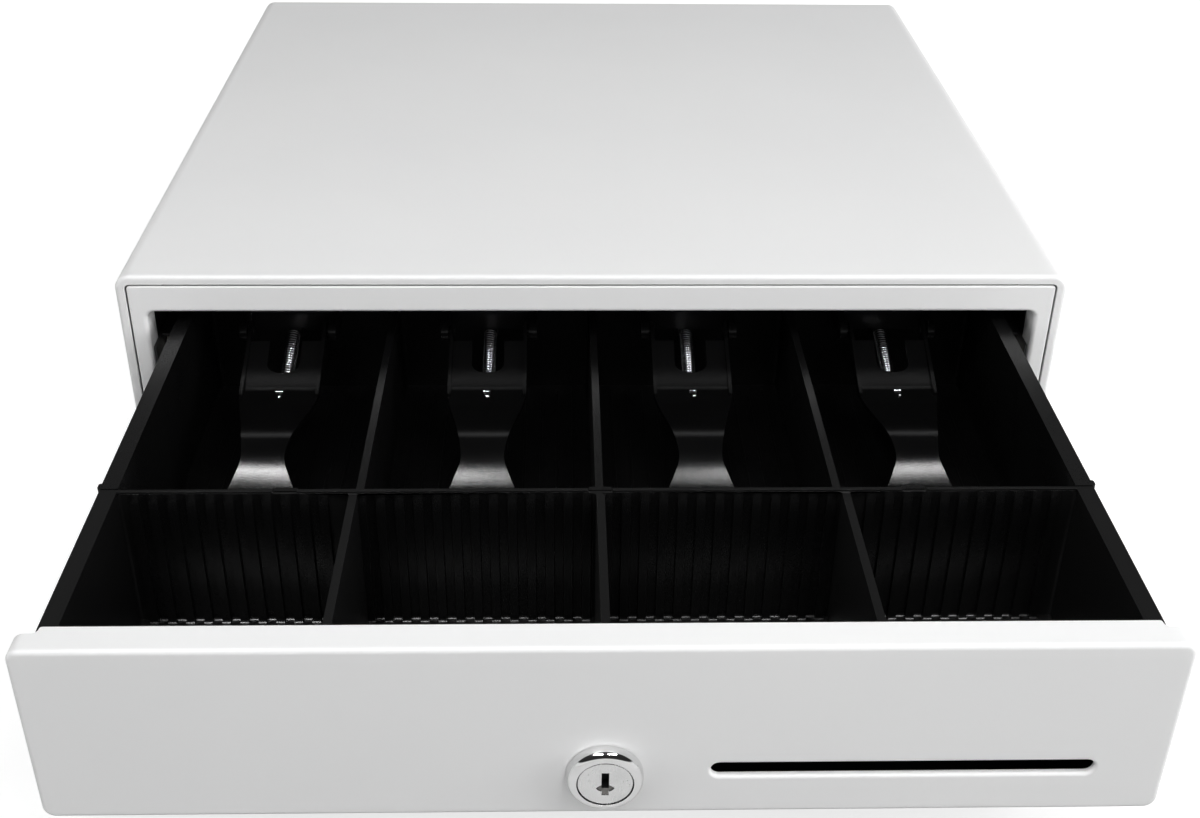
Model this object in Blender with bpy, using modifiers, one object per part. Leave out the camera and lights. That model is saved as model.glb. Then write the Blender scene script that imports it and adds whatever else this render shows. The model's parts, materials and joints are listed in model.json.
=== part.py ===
"""A cash drawer, drawn with its drawer run out.

A folded steel housing on rubber feet carries a drawer on rollers. The drawer holds a note tray with four
sprung clips and a coin tray that lifts out, and its front has a key lock and a slot for slips. Metres, +Z up,
the front faces -Y, and the origin is on the floor at the centre of the whole object with the drawer out.
"""

import math

import bmesh
import bpy
from mathutils import Euler, Matrix, Vector

# Clearances
GAP = 0.0003                    # between pieces that touch
HOLE_PLAY = 0.0003              # round a pin or shaft, on the radius

# Housing
HOUSING_WIDTH = 0.410
HOUSING_DEPTH = 0.3945
HOUSING_HEIGHT = 0.107          # without the feet
FOOT_HEIGHT = 0.008
FOOT_RADIUS = 0.011
FOOT_INSET = 0.032              # foot centre from the housing's sides
SHEET = 0.0012                  # painted steel
LONG_BEND = 0.0065              # cover's two long upper edges
EDGE_BEND = 0.0018              # its other folded edges
FRONT_LIP = 0.0042
REAR_LIP = 0.010
FRAME_SIDE = 0.0074             # front frame, between the lip's seam and the opening
FRAME_TOP = 0.0128
FRAME_SILL = 0.0081
FRAME_RETURN = 0.012
FRAME_LEDGE = 0.009             # returns above and below the opening
OPENING_CORNER = 0.0035
PAN_FLANGE = 0.010              # base pan's upturned edges
SCREW_HEAD_RADIUS = 0.003
SCREW_HEAD_HEIGHT = 0.0015
SCREW_RADIUS = 0.0015
SCREW_LENGTH = 0.006
REAR_SCREW_LOW = 0.017          # lower screws above the housing's underside
REAR_SCREW_DROP = 0.020         # upper screws below its top

# Drawer
ROLLER_STOP = 0.0021            # between the housing's and the drawer's rollers, run out
FRONT_CLEARANCE = 0.0045        # drawer front to the opening, all round
FRONT_TOP_FLANGE = 0.0125
FRONT_SIDE_RETURN = 0.0094
FLANGE_END = 0.0084             # the top flange stops this far from the drawer front's ends
FRONT_CORNER = 0.0045
DRAWER_SHEET = 0.001
PAN_LIFT = 0.0005               # drawer pan above the front's lower return
PAN_FRONT_HEIGHT = 0.0637
PAN_REAR_HEIGHT = 0.0477

# Trays
RIM_INSET = 0.0066              # rim's outer edge from the drawer front's ends
RIM_WIDTH = 0.0065
RIM_THICKNESS = 0.002
RIM_DROP = 0.0018               # rim below the drawer front's top
TRAY_WALL = 0.002
TRAY_FLOOR = 0.002
TRAY_DEPTH = 0.0544             # note tray's rim to its floor
TRAY_PLAY = 0.0007              # tray walls to drawer pan
INNER_EXTRA = 0.003             # the inner compartments are wider than the outer ones by this
DIVIDER = 0.003
NOTE_DIVIDER_DROP = 0.0102
COIN_DEPTH = 0.0611             # coin tray's rim to its floor
COIN_DIVIDER_DROP = 0.0008
COIN_RIM_DROP = 0.0002
COIN_TRAY_LENGTH = 0.0785
COIN_WALL = 0.0016
SCOOP_LENGTH = 0.0534
NOTE_LENGTH = 0.1626
HOOK_LENGTH = 0.003             # coin rim's ends, beside the drawer front's top flange
HOOK_WIDTH = 0.0015

# Note clips
CLIP_SHIFT = 0.0018             # clips stand this far left of their compartments' middles
CLIP_HINGE_AHEAD = 0.0195       # hinge from the note tray's rear wall
CLIP_HINGE_DROP = 0.0139
CLIP_WIDTH = 0.0344
CLIP_THICKNESS = 0.002
CLIP_FLANGE = 0.0015
CLIP_EAR = 0.0044
CLIP_SLOT = 0.0142
CLIP_PIN_RADIUS = 0.002
BRACKET_LUG = 0.0034
BRACKET_PLAY = 0.0009           # clip's ears to bracket's lugs
CLIP_SPRING_RADIUS = 0.0031
CLIP_SPRING_WIRE = 0.0007
BRACKET_WEB = 0.010
SPRING_SEAT = 0.0011            # spring's rear end to its post on the bracket

# Runners
RAIL_SHEET = 0.0012
RAIL_DROP = 0.0179              # housing rail's top below the opening's top
RAIL_REACH = 0.0089
RAIL_CHANNEL = 0.017
RAIL_LENGTH = 0.2615
RAIL_SET_BACK = 0.001           # rail's flanges behind the shut drawer front's top flange
RAIL_NOSE = 0.002               # rail's web behind the housing's front
DRAWER_RAIL_REACH = 0.0079
DRAWER_RAIL_HEIGHT = 0.0108
HOUSING_ROLLER_RADIUS = 0.007
HOUSING_ROLLER_WIDTH = 0.0065
DRAWER_ROLLER_RADIUS = 0.0081
DRAWER_ROLLER_WIDTH = 0.0073
DRAWER_ROLLER_INSET = 0.0057    # its centre from the drawer pan's rear
ROLLER_PIN_RADIUS = 0.002
ROLLER_PIN_HEAD_RADIUS = 0.0035
ROLLER_PIN_HEAD = 0.0008

# Lock and slot, from the drawer front's lower edge
LOCK_RISE = 0.0185
LOCK_BEZEL_RADIUS = 0.0131
LOCK_PROUD = 0.005
LOCK_FACE_RADIUS = 0.0093
LOCK_FACE_DEPTH = 0.0027
LOCK_BARREL_RADIUS = 0.0087
LOCK_BARREL_LENGTH = 0.021
LOCK_PLUG_RADIUS = 0.006
LOCK_TAIL_RADIUS = 0.0035
LOCK_TAIL_LENGTH = 0.004
LOCK_PLUG_SET = 0.0003          # plug's face below the bezel's rim
LOCK_EDGE = 0.0008
PLUG_EDGE = 0.0004
LOCK_NUT_RADIUS = 0.0135
LOCK_NUT_HEIGHT = 0.004
LOCK_CAM_REACH = 0.0255
LOCK_CAM_WIDTH = 0.010
LOCK_CAM_HUB = 0.006
LOCK_CAM_THICKNESS = 0.002
LOCK_CAM_PLAY = 0.0025          # round the cam in the drawer pan's floor
KEYHOLE_WIDTH = 0.0022
KEYHOLE_HEIGHT = 0.0094
KEYHOLE_DEPTH = 0.003
KEEPER_WIDTH = 0.020
KEEPER_HEIGHT = 0.0085
KEEPER_FOOT = 0.013
KEEPER_SHEET = 0.002
KEEPER_GAP = 0.0008
SLOT_CENTRE_X = 0.0998
SLOT_RISE = 0.0211
SLOT_LENGTH = 0.129
SLOT_HEIGHT = 0.0045

# Latch, solenoid, ejector and switch
STRIKE_REACH = 0.019            # strike pin behind the drawer pan
STRIKE_WIDTH = 0.012
STRIKE_PIN_RADIUS = 0.003
STRIKE_Z = 0.037
STRIKE_THICKNESS = 0.0025
STRIKE_PLATE = 0.0015
STRIKE_PLATE_HEIGHT = 0.016
STRIKE_PIN_LENGTH = 0.0095
STRIKE_END = 0.006              # tongue behind the pin's axis
LATCH_X = -0.014
LATCH_ARM = 0.030               # pivot behind the shut strike pin
LATCH_HALF_WIDTH = 0.005
LATCH_NOSE = 0.008              # its length along the drawer's path
LATCH_TIP = 0.0035              # the nose's square part, before its slant
LATCH_PLAY = 0.001              # round the strike pin
LATCH_TAIL = 0.016
LATCH_TAIL_HALF_WIDTH = 0.004
LATCH_ANGLE = math.radians(13)
LATCH_THICKNESS = 0.003
LATCH_Z = 0.027
LATCH_POST_RADIUS = 0.0025
LATCH_POST_FLANGE = 0.006
LATCH_POST_HEAD = 0.0045
LATCH_POST_HEAD_HEIGHT = 0.0015
LATCH_PIN_RADIUS = 0.002
LATCH_PIN_HEIGHT = 0.0036       # tail pin above the hook's plate
BRACKET_SHEET = 0.002           # solenoid's and ejector's brackets
SOLENOID_LENGTH = 0.032
SOLENOID_RADIUS = 0.0105
SOLENOID_AHEAD = 0.018          # frame from the latch's pivot, along X
PLUNGER_RADIUS = 0.004
PLUNGER_OUT = 0.0055            # its round part in front of the coil
PLUNGER_SHORT = 0.010           # its inner end from the coil's far end
TONGUE_RIM = 0.003              # metal round the tongue's eye
TONGUE_PLAY = 0.001             # eye to the hook's tail pin
TONGUE_LAP = 0.003
EJECTOR_X = 0.070
EJECTOR_Z = 0.038
EJECTOR_SPRING_RADIUS = 0.0065
EJECTOR_SPRING_WIRE = 0.0016
EJECTOR_SPRING_LENGTH = 0.050
EJECTOR_PUSH = 0.0115           # spring's squeeze when the drawer is shut
EJECTOR_ROD_RADIUS = 0.003
EJECTOR_ROD_SHORT = 0.002       # rod's end from the shut drawer
EJECTOR_FOOT = 0.014
EJECTOR_RIM = 0.001             # bracket beyond the spring, each side
SWITCH_X = -0.075
SWITCH_WIDTH = 0.022
SWITCH_DEPTH = 0.0155
SWITCH_HEIGHT = 0.024
SWITCH_BEHIND = 0.0063          # body from the shut drawer's rear
LEVER_THICKNESS = 0.0008
LEVER_LENGTH = 0.0198
LEVER_WIDTH = 0.005
LEVER_SPLAY = 0.0035            # its free end towards the drawer
LEVER_INSET = 0.002             # its pivot from the switch's side
LEVER_DROP = 0.006              # its pivot from the switch's top
SOCKET_INSET = 0.055            # from the housing's right side
SOCKET_Z = 0.040
SOCKET_WIDTH = 0.0144
SOCKET_HEIGHT = 0.0134
SOCKET_DEPTH = 0.017
SOCKET_WALL = 0.002
SOCKET_PROUD = 0.0008           # its face from the rear panel's

# Where the driving sizes put things. Heights are above the floor.
HALF = HOUSING_WIDTH / 2
BASE_Z = FOOT_HEIGHT
TOP_Z = FOOT_HEIGHT + HOUSING_HEIGHT
BASE_TOP = BASE_Z + SHEET
SEAT_Z = BASE_TOP + GAP         # what stands on the base pan starts here
FRAME_HALF = HALF - FRONT_LIP - GAP
FRAME_TOP_Z = TOP_Z - FRONT_LIP - GAP
OPENING_HALF = FRAME_HALF - FRAME_SIDE
OPENING_TOP = FRAME_TOP_Z - FRAME_TOP
OPENING_BOTTOM = BASE_Z + FRAME_SILL
FRONT_HALF = OPENING_HALF - FRONT_CLEARANCE
FRONT_TOP = OPENING_TOP - FRONT_CLEARANCE
FRONT_BOTTOM = OPENING_BOTTOM + FRONT_CLEARANCE
SOCKET_X = HALF - SOCKET_INSET
REAR_SCREW_HIGH = HOUSING_HEIGHT - REAR_SCREW_DROP

RIM_HALF = FRONT_HALF - RIM_INSET
RIM_TOP = FRONT_TOP - RIM_DROP
POCKET_HALF = RIM_HALF - RIM_WIDTH
DIVIDER_PITCH = (2 * POCKET_HALF + DIVIDER + 2 * INNER_EXTRA) / 4
TRAY_HALF = POCKET_HALF + TRAY_WALL
TRAY_FLOOR_Z = RIM_TOP - TRAY_DEPTH
COIN_FLOOR_Z = RIM_TOP - COIN_DEPTH
COIN_FRONT = FRONT_TOP_FLANGE + 2 * GAP
COIN_REAR = COIN_FRONT + COIN_TRAY_LENGTH
NOTE_FRONT = COIN_REAR + GAP
NOTE_REAR = NOTE_FRONT + NOTE_LENGTH + 2 * TRAY_WALL
PAN_INNER = TRAY_HALF + TRAY_PLAY
PAN_HALF = PAN_INNER + DRAWER_SHEET
PAN_FRONT = SHEET + GAP
PAN_REAR = NOTE_REAR + TRAY_PLAY + DRAWER_SHEET
PAN_BOTTOM = FRONT_BOTTOM + SHEET + PAN_LIFT
PAN_WALL_TOP = RIM_TOP - RIM_THICKNESS - GAP

RAIL_OUT = OPENING_HALF - GAP
RAIL_IN = RAIL_OUT - RAIL_SHEET
RAIL_TOP = OPENING_TOP - RAIL_DROP
RAIL_FLOOR = RAIL_TOP - RAIL_SHEET - RAIL_CHANNEL
RAIL_START = FRONT_TOP_FLANGE + RAIL_SET_BACK
DRAWER_RAIL_IN = PAN_HALF + GAP
DRAWER_RAIL_OUT = DRAWER_RAIL_IN + RAIL_SHEET
DRAWER_RAIL_Z = RAIL_FLOOR + 2 * (GAP + HOUSING_ROLLER_RADIUS)
HOUSING_ROLLER_Y = RAIL_START + HOUSING_ROLLER_RADIUS + GAP
HOUSING_ROLLER_Z = RAIL_FLOOR + GAP + HOUSING_ROLLER_RADIUS
DRAWER_ROLLER_Y = PAN_REAR - DRAWER_ROLLER_INSET
DRAWER_ROLLER_Z = RAIL_FLOOR + GAP + DRAWER_ROLLER_RADIUS
TRAVEL = DRAWER_ROLLER_Y - HOUSING_ROLLER_Y - DRAWER_ROLLER_RADIUS - HOUSING_ROLLER_RADIUS - ROLLER_STOP
HOUSING_FRONT_Y = (TRAVEL + LOCK_PROUD - HOUSING_DEPTH - GAP - SCREW_HEAD_HEIGHT) / 2

CLIP_Y = NOTE_REAR - TRAY_WALL - CLIP_HINGE_AHEAD
CLIP_Z = RIM_TOP - CLIP_HINGE_DROP
LOCK_Z = FRONT_BOTTOM + LOCK_RISE
SLOT_Z = FRONT_BOTTOM + SLOT_RISE
LATCH_Y = PAN_REAR + STRIKE_REACH + LATCH_ARM
SIDES = {"left": -1, "right": 1}

# Facets of round shapes
ROUND_STEPS = 24
PIN_STEPS = 12
CORNER_STEPS = 4
BEND_STEPS = 3

parts = bpy.data.collections.new("cash_drawer")
cutters = bpy.data.collections.new("cutters")


def clear_scene():
    for obj in list(bpy.data.objects):
        bpy.data.objects.remove(obj, do_unlink=True)
    for collection in (parts, cutters):
        bpy.context.scene.collection.children.link(collection)


def finish(name, colour, roughness, metallic=0.0):
    """A plain Principled material."""
    made = bpy.data.materials.new(name)
    made.use_nodes = True
    shader = made.node_tree.nodes["Principled BSDF"]
    shader.inputs["Base Color"].default_value = (*colour, 1.0)
    shader.inputs["Roughness"].default_value = roughness
    shader.inputs["Metallic"].default_value = metallic
    return made


WHITE_PAINT = finish("white_paint", (0.80, 0.80, 0.80), 0.45)
BLACK_PAINT = finish("black_paint", (0.015, 0.015, 0.016), 0.42)
BLACK_PLASTIC = finish("black_plastic", (0.012, 0.012, 0.013), 0.35)
ZINC_STEEL = finish("zinc_steel", (0.55, 0.56, 0.58), 0.38, 1.0)
CHROME = finish("chrome", (0.82, 0.82, 0.83), 0.12, 1.0)
SPRING_STEEL = finish("spring_steel", (0.70, 0.70, 0.72), 0.25, 1.0)
NYLON = finish("nylon", (0.75, 0.74, 0.70), 0.45)
RUBBER = finish("rubber", (0.02, 0.02, 0.02), 0.80)
COIL_TAPE = finish("coil_tape", (0.60, 0.42, 0.05), 0.50)


# Meshes

def block(low, high):
    """A box between two corners."""
    low, high = Vector(low), Vector(high)
    size = Matrix.Diagonal((*(high - low), 1))
    mesh = bpy.data.meshes.new("block")
    shape = bmesh.new()
    bmesh.ops.create_cube(shape, size=1, matrix=Matrix.Translation((low + high) / 2) @ size)
    shape.to_mesh(mesh)
    shape.free()
    return mesh


def round_edges(mesh, radius, chosen, steps=CORNER_STEPS):
    """Rounds the edges for which chosen(end, end) is true."""
    shape = bmesh.new()
    shape.from_mesh(mesh)
    edges = [edge for edge in shape.edges if chosen(*(corner.co for corner in edge.verts))]
    bmesh.ops.bevel(shape, geom=edges, offset=radius, segments=steps, profile=0.5, affect="EDGES")
    shape.to_mesh(mesh)
    shape.free()
    return mesh


def along(axis, where=lambda middle: True):
    """Picks edges that run along an axis, and whose middle passes a test."""
    def chosen(start, end):
        span = end - start
        straight = all(abs(span[other]) < 1e-7 for other in range(3) if other != axis)
        return straight and where((start + end) / 2)
    return chosen


def prism(outline, axis, low, high):
    """A flat outline drawn out along an axis: outlines are (y, z) for X, (x, z) for Y and (x, y) for Z."""
    curve = bpy.data.curves.new("outline", "CURVE")
    curve.dimensions = "2D"
    curve.fill_mode = "BOTH"
    curve.extrude = (high - low) / 2
    spline = curve.splines.new("POLY")
    spline.points.add(len(outline) - 1)
    for point, (across, up) in zip(spline.points, outline):
        point.co = (across, up, 0, 1)
    spline.use_cyclic_u = True
    guide = bpy.data.objects.new("outline", curve)
    cutters.objects.link(guide)
    graph = bpy.context.evaluated_depsgraph_get()
    mesh = bpy.data.meshes.new_from_object(guide.evaluated_get(graph))
    bpy.data.objects.remove(guide)
    columns = {"X": ((0, 1, 0), (0, 0, 1), (1, 0, 0)), "Y": ((1, 0, 0), (0, 0, 1), (0, 1, 0)),
               "Z": ((1, 0, 0), (0, 1, 0), (0, 0, 1))}[axis]
    turn = Matrix(columns).transposed().to_4x4()
    shift = Matrix.Translation(Vector(columns[2]) * (low + high) / 2)
    shape = bmesh.new()
    shape.from_mesh(mesh)
    bmesh.ops.transform(shape, matrix=shift @ turn, verts=shape.verts)
    bmesh.ops.remove_doubles(shape, verts=shape.verts, dist=1e-6)
    bmesh.ops.recalc_face_normals(shape, faces=shape.faces)
    shape.to_mesh(mesh)
    shape.free()
    return mesh


def rod(radius, axis, centre, low, high, steps=ROUND_STEPS):
    """A round bar along an axis. centre is its (y, z), (x, z) or (x, y)."""
    outline = arc(centre, radius, 0, 2 * math.pi, steps)[:-1]
    return prism(outline, axis, low, high)


def arc(centre, radius, start, end, steps):
    """Points along an arc, both ends included."""
    radii = radius if isinstance(radius, tuple) else (radius, radius)
    turns = [start + (end - start) * step / steps for step in range(steps + 1)]
    return [(centre[0] + radii[0] * math.cos(turn), centre[1] + radii[1] * math.sin(turn)) for turn in turns]


def smooth_line(points, steps):
    """A Catmull-Rom curve through points."""
    line = []
    ends = [points[0], *points, points[-1]]
    for before, start, end, after in zip(ends, ends[1:], ends[2:], ends[3:]):
        for step in range(steps):
            t = step / steps
            weights = (-t + 2 * t ** 2 - t ** 3, 2 - 5 * t ** 2 + 3 * t ** 3,
                       t + 4 * t ** 2 - 3 * t ** 3, t ** 3 - t ** 2)
            line.append(tuple(sum(w * p[i] for w, p in zip(weights, (before, start, end, after))) / 2
                              for i in range(2)))
    return [*line, points[-1]]


def strip_outline(line, thickness):
    """The outline of a strip of even thickness about a line."""
    sides = ([], [])
    for before, point, after in zip([line[0], *line], line, [*line[1:], line[-1]]):
        run, rise = after[0] - before[0], after[1] - before[1]
        length = math.hypot(run, rise)
        for side, sign in zip(sides, (1, -1)):
            offset = sign * thickness / 2 / length
            side.append((point[0] - rise * offset, point[1] + run * offset))
    return sides[0] + sides[1][::-1]


# Objects

def add(name, mesh, parent, colour, origin=(0, 0, 0), turn=(0, 0, 0)):
    """A part. Its mesh is drawn in its parent's frame, and its own origin is put at a point of that frame."""
    obj = bpy.data.objects.new(name, mesh)
    mesh.name = name
    mesh.transform(Matrix.Translation(-Vector(origin)))
    mesh.materials.append(colour)
    obj.parent = parent
    obj.location = origin
    obj.rotation_euler = turn
    parts.objects.link(obj)
    bpy.context.view_layer.update()
    mesh.shade_smooth()
    mesh.set_sharp_from_angle(angle=math.radians(35))
    return obj


def boolean(obj, mesh, operation, origin=(0, 0, 0)):
    """Joins a mesh to a part or cuts it away. The mesh is drawn like the part's own."""
    helper = bpy.data.objects.new(f"{obj.name}_{operation.lower()}", mesh)
    mesh.transform(Matrix.Translation(-Vector(origin)))
    helper.parent = obj
    helper.hide_render = True
    helper.display_type = "WIRE"
    cutters.objects.link(helper)
    modifier = obj.modifiers.new(helper.name, "BOOLEAN")
    modifier.operation = operation
    modifier.solver = "EXACT"
    modifier.object = helper


def cut(obj, mesh, origin=(0, 0, 0)):
    boolean(obj, mesh, "DIFFERENCE", origin)


def join(obj, mesh, origin=(0, 0, 0)):
    boolean(obj, mesh, "UNION", origin)


def turned(name, profile, parent, colour, origin, axis):
    """A turned piece. The profile's (radius, height) points run from the top down its outer side."""
    mesh = bpy.data.meshes.new(name)
    points = [(radius, 0, height) for radius, height in profile]
    ring = profile[0][0] > 0
    edges = [(i, i + 1) for i in range(len(points) - 1)] + ([(len(points) - 1, 0)] if ring else [])
    mesh.from_pydata(points, edges, [])
    turn = {"X": (0, math.pi / 2, 0), "Y": (-math.pi / 2, 0, 0), "Z": (0, 0, 0)}[axis]
    obj = add(name, mesh, parent, colour, turn=turn)
    obj.location = origin
    screw = obj.modifiers.new("turn", "SCREW")
    screw.steps = screw.render_steps = ROUND_STEPS
    screw.use_merge_vertices = True
    screw.merge_threshold = 1e-5
    return obj


def tube_profile(outer, inner, low, high):
    return [(outer, high), (outer, low), (inner, low), (inner, high)]


def empty(name, location):
    obj = bpy.data.objects.new(name, None)
    obj.location = location
    parts.objects.link(obj)
    return obj


def side_span(sign, inner, outer):
    """An X range on the left or the right side, low end first."""
    return sorted((sign * inner, sign * outer))


# Housing

def shell_box(inset, depth_inset):
    """The cover's outer form, or the same drawn inwards."""
    half, top = HALF - inset, TOP_Z - inset
    mesh = block((-half, depth_inset, BASE_Z), (half, HOUSING_DEPTH - depth_inset, top))
    long_bend = LONG_BEND - inset
    edge_bend = EDGE_BEND - inset
    round_edges(mesh, long_bend, along(1, lambda middle: middle.z > top - 1e-6))

    def on_face(start, end):
        ends = abs(start.y - end.y) < 1e-7
        bottom = max(start.z, end.z) < BASE_Z + 1e-6
        return ends and not bottom
    return round_edges(mesh, edge_bend, on_face, BEND_STEPS)


def add_top_cover(housing):
    """Sheet folded over the top, both sides and a narrow lip front and back."""
    cover = add("top_cover", shell_box(0, 0), housing, WHITE_PAINT)
    cut(cover, lowered(shell_box(SHEET, SHEET)))
    corner = LONG_BEND - FRONT_LIP
    for lip, y_low, y_high in ((FRONT_LIP, -SHEET, 2 * SHEET),
                               (REAR_LIP, HOUSING_DEPTH - 2 * SHEET, HOUSING_DEPTH + SHEET)):
        window = block((lip - HALF, y_low, BASE_Z - SHEET), (HALF - lip, y_high, TOP_Z - lip))
        cut(cover, round_edges(window, corner, along(1, lambda middle: middle.z > BASE_Z), BEND_STEPS))
    for sign in SIDES.values():
        for height in (REAR_SCREW_LOW, REAR_SCREW_HIGH):
            cut(cover, rear_screw_hole(sign, height))


def lowered(mesh):
    """Draws the bottom of a cutter down past the piece that it opens."""
    for corner in mesh.vertices:
        if corner.co.z < BASE_Z + 1e-6:
            corner.co.z -= SHEET
    return mesh


def rear_screw_centre(sign, height):
    return sign * (HALF - REAR_LIP / 2), BASE_Z + height


def rear_screw_hole(sign, height):
    radius = SCREW_RADIUS + HOLE_PLAY
    return rod(radius, "Y", rear_screw_centre(sign, height), HOUSING_DEPTH - 3 * SHEET,
               HOUSING_DEPTH + SHEET, PIN_STEPS)


def add_base_pan(housing):
    """Floor sheet with upturned long edges."""
    half = HALF - SHEET - GAP
    rear = HOUSING_DEPTH - 2 * (SHEET + GAP) - GAP
    pan = add("base_pan", block((-half, SHEET + GAP, BASE_Z), (half, rear, BASE_TOP + PAN_FLANGE)),
              housing, ZINC_STEEL)
    cut(pan, block((SHEET - half, -SHEET, BASE_TOP), (half - SHEET, HOUSING_DEPTH, TOP_Z)))


def add_rear_panel(housing):
    """Flat sheet behind the cover's rear lip, with a cut-out for the socket."""
    half = HALF - SHEET - GAP
    rear = HOUSING_DEPTH - SHEET - GAP
    top = TOP_Z - SHEET - GAP
    sheet = block((-half, rear - SHEET, BASE_Z + GAP), (half, rear, top))
    round_edges(sheet, LONG_BEND, along(1, lambda middle: middle.z > BASE_TOP), BEND_STEPS)
    panel = add("rear_panel", sheet, housing, WHITE_PAINT)
    play = Vector((GAP, GAP))
    low = Vector((SOCKET_X - SOCKET_WIDTH / 2, SOCKET_Z - SOCKET_HEIGHT / 2)) - play
    high = Vector((SOCKET_X + SOCKET_WIDTH / 2, SOCKET_Z + SOCKET_HEIGHT / 2)) + play
    cut(panel, block((low.x, rear - 3 * SHEET, low.y), (high.x, HOUSING_DEPTH, high.y)))
    for sign in SIDES.values():
        for height in (REAR_SCREW_LOW, REAR_SCREW_HIGH):
            cut(panel, rear_screw_hole(sign, height))


def add_rear_screws(housing):
    rows = {"lower": REAR_SCREW_LOW, "upper": REAR_SCREW_HIGH}
    for row, height in rows.items():
        for side, sign in SIDES.items():
            x, z = rear_screw_centre(sign, height)
            head = SCREW_HEAD_HEIGHT
            profile = [(0, head), (SCREW_HEAD_RADIUS * 0.7, head), (SCREW_HEAD_RADIUS, head / 2),
                       (SCREW_HEAD_RADIUS, 0), (SCREW_RADIUS, 0), (SCREW_RADIUS, -SCREW_LENGTH),
                       (0, -SCREW_LENGTH)]
            turned(f"rear_screw_{row}_{side}", profile, housing, ZINC_STEEL,
                   (x, HOUSING_DEPTH + GAP, z), "Y")


def add_front_frame(housing):
    """Sheet frame set into the cover's front lip, with returns round the drawer's opening."""
    face = block((-FRAME_HALF, 0, BASE_Z), (FRAME_HALF, SHEET, FRAME_TOP_Z))
    corner = LONG_BEND - FRONT_LIP - GAP
    round_edges(face, corner, along(1, lambda middle: middle.z > BASE_TOP), BEND_STEPS)
    frame = add("front_frame", face, housing, WHITE_PAINT)
    top_start = OPENING_TOP - OPENING_CORNER
    low_start = OPENING_BOTTOM + OPENING_CORNER
    side = [(SHEET / 2, top_start), (SHEET, top_start), (FRAME_RETURN, top_start - FRAME_RETURN + SHEET),
            (FRAME_RETURN, low_start + FRAME_RETURN - SHEET), (SHEET, low_start), (SHEET / 2, low_start)]
    for sign in SIDES.values():
        join(frame, prism(side, "X", *side_span(sign, OPENING_HALF, OPENING_HALF + SHEET)))
    ledge = OPENING_HALF - OPENING_CORNER
    join(frame, block((-ledge, SHEET / 2, OPENING_TOP), (ledge, FRAME_LEDGE, OPENING_TOP + SHEET)))
    join(frame, block((-ledge, SHEET / 2, OPENING_BOTTOM - SHEET), (ledge, FRAME_LEDGE, OPENING_BOTTOM)))
    window = block((-OPENING_HALF, -SHEET, OPENING_BOTTOM), (OPENING_HALF, 2 * FRAME_RETURN, OPENING_TOP))
    cut(frame, round_edges(window, OPENING_CORNER, along(1)))


def add_feet(housing):
    rows = {"front": FOOT_INSET, "rear": HOUSING_DEPTH - FOOT_INSET}
    for row, y in rows.items():
        for side, sign in SIDES.items():
            top = FOOT_HEIGHT - GAP
            profile = [(0, top), (FOOT_RADIUS * 0.86, top), (FOOT_RADIUS, top * 0.75),
                       (FOOT_RADIUS * 0.93, top * 0.1), (FOOT_RADIUS * 0.86, 0), (0, 0)]
            turned(f"foot_{row}_{side}", profile, housing, RUBBER, (sign * (HALF - FOOT_INSET), y, 0), "Z")


def add_side_plate(housing, side, sign):
    """Upright sheet that carries a rail, with a foot on the base pan."""
    inner, outer = OPENING_HALF, OPENING_HALF + SHEET
    toe = HALF - 2 * (SHEET + GAP) - GAP
    top = OPENING_TOP - OPENING_CORNER
    outline = [(inner, SEAT_Z), (toe, SEAT_Z), (toe, SEAT_Z + SHEET), (outer, SEAT_Z + SHEET),
               (outer, top), (inner, top)]
    start = FRAME_RETURN + GAP
    end = HOUSING_DEPTH - 2 * (SHEET + GAP) - 2 * GAP
    add(f"side_plate_{side}", prism([(sign * x, z) for x, z in outline], "Y", start, end),
        housing, BLACK_PAINT)


def add_housing_rail(housing, side, sign):
    """Channel that the drawer's roller runs in. Its web reaches forward to the front frame."""
    lip = RAIL_OUT - RAIL_REACH
    bottom = RAIL_FLOOR - RAIL_SHEET
    outline = [(RAIL_OUT, bottom), (RAIL_OUT, RAIL_TOP), (lip, RAIL_TOP), (lip, RAIL_TOP - RAIL_SHEET),
               (RAIL_IN, RAIL_TOP - RAIL_SHEET), (RAIL_IN, RAIL_FLOOR), (lip, RAIL_FLOOR), (lip, bottom)]
    channel = prism([(sign * x, z) for x, z in outline], "Y", RAIL_START, RAIL_START + RAIL_LENGTH)
    rail = add(f"housing_rail_{side}", channel, housing, BLACK_PAINT)
    x_low, x_high = side_span(sign, RAIL_IN, RAIL_OUT)
    join(rail, block((x_low, RAIL_NOSE, bottom), (x_high, RAIL_START + RAIL_SHEET, RAIL_TOP)))


def add_roller(name, parent, sign, x_inner, width, radius, y, z):
    """Nylon roller with rounded rims. sign is the side that it is on."""
    low, high = side_span(sign, x_inner, x_inner + width)
    rim, bore = radius * 0.12, ROLLER_PIN_RADIUS + HOLE_PLAY
    half = (high - low) / 2
    profile = [(radius - rim, half), (radius, half - rim), (radius, rim - half), (radius - rim, -half),
               (bore, -half), (bore, half)]
    turned(name, profile, parent, NYLON, ((low + high) / 2, y, z), "X")


def add_roller_pin(name, parent, seat_x, head_x, y, z):
    """Headed pin between its seat on a rail and its head."""
    length = abs(head_x - seat_x)
    outer = length + ROLLER_PIN_HEAD
    profile = [(0, outer), (ROLLER_PIN_HEAD_RADIUS, outer), (ROLLER_PIN_HEAD_RADIUS, length),
               (ROLLER_PIN_RADIUS, length), (ROLLER_PIN_RADIUS, 0), (0, 0)]
    pin = turned(name, profile, parent, ZINC_STEEL, (seat_x, y, z), "X")
    if head_x < seat_x:
        pin.rotation_euler.y = -math.pi / 2


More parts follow.
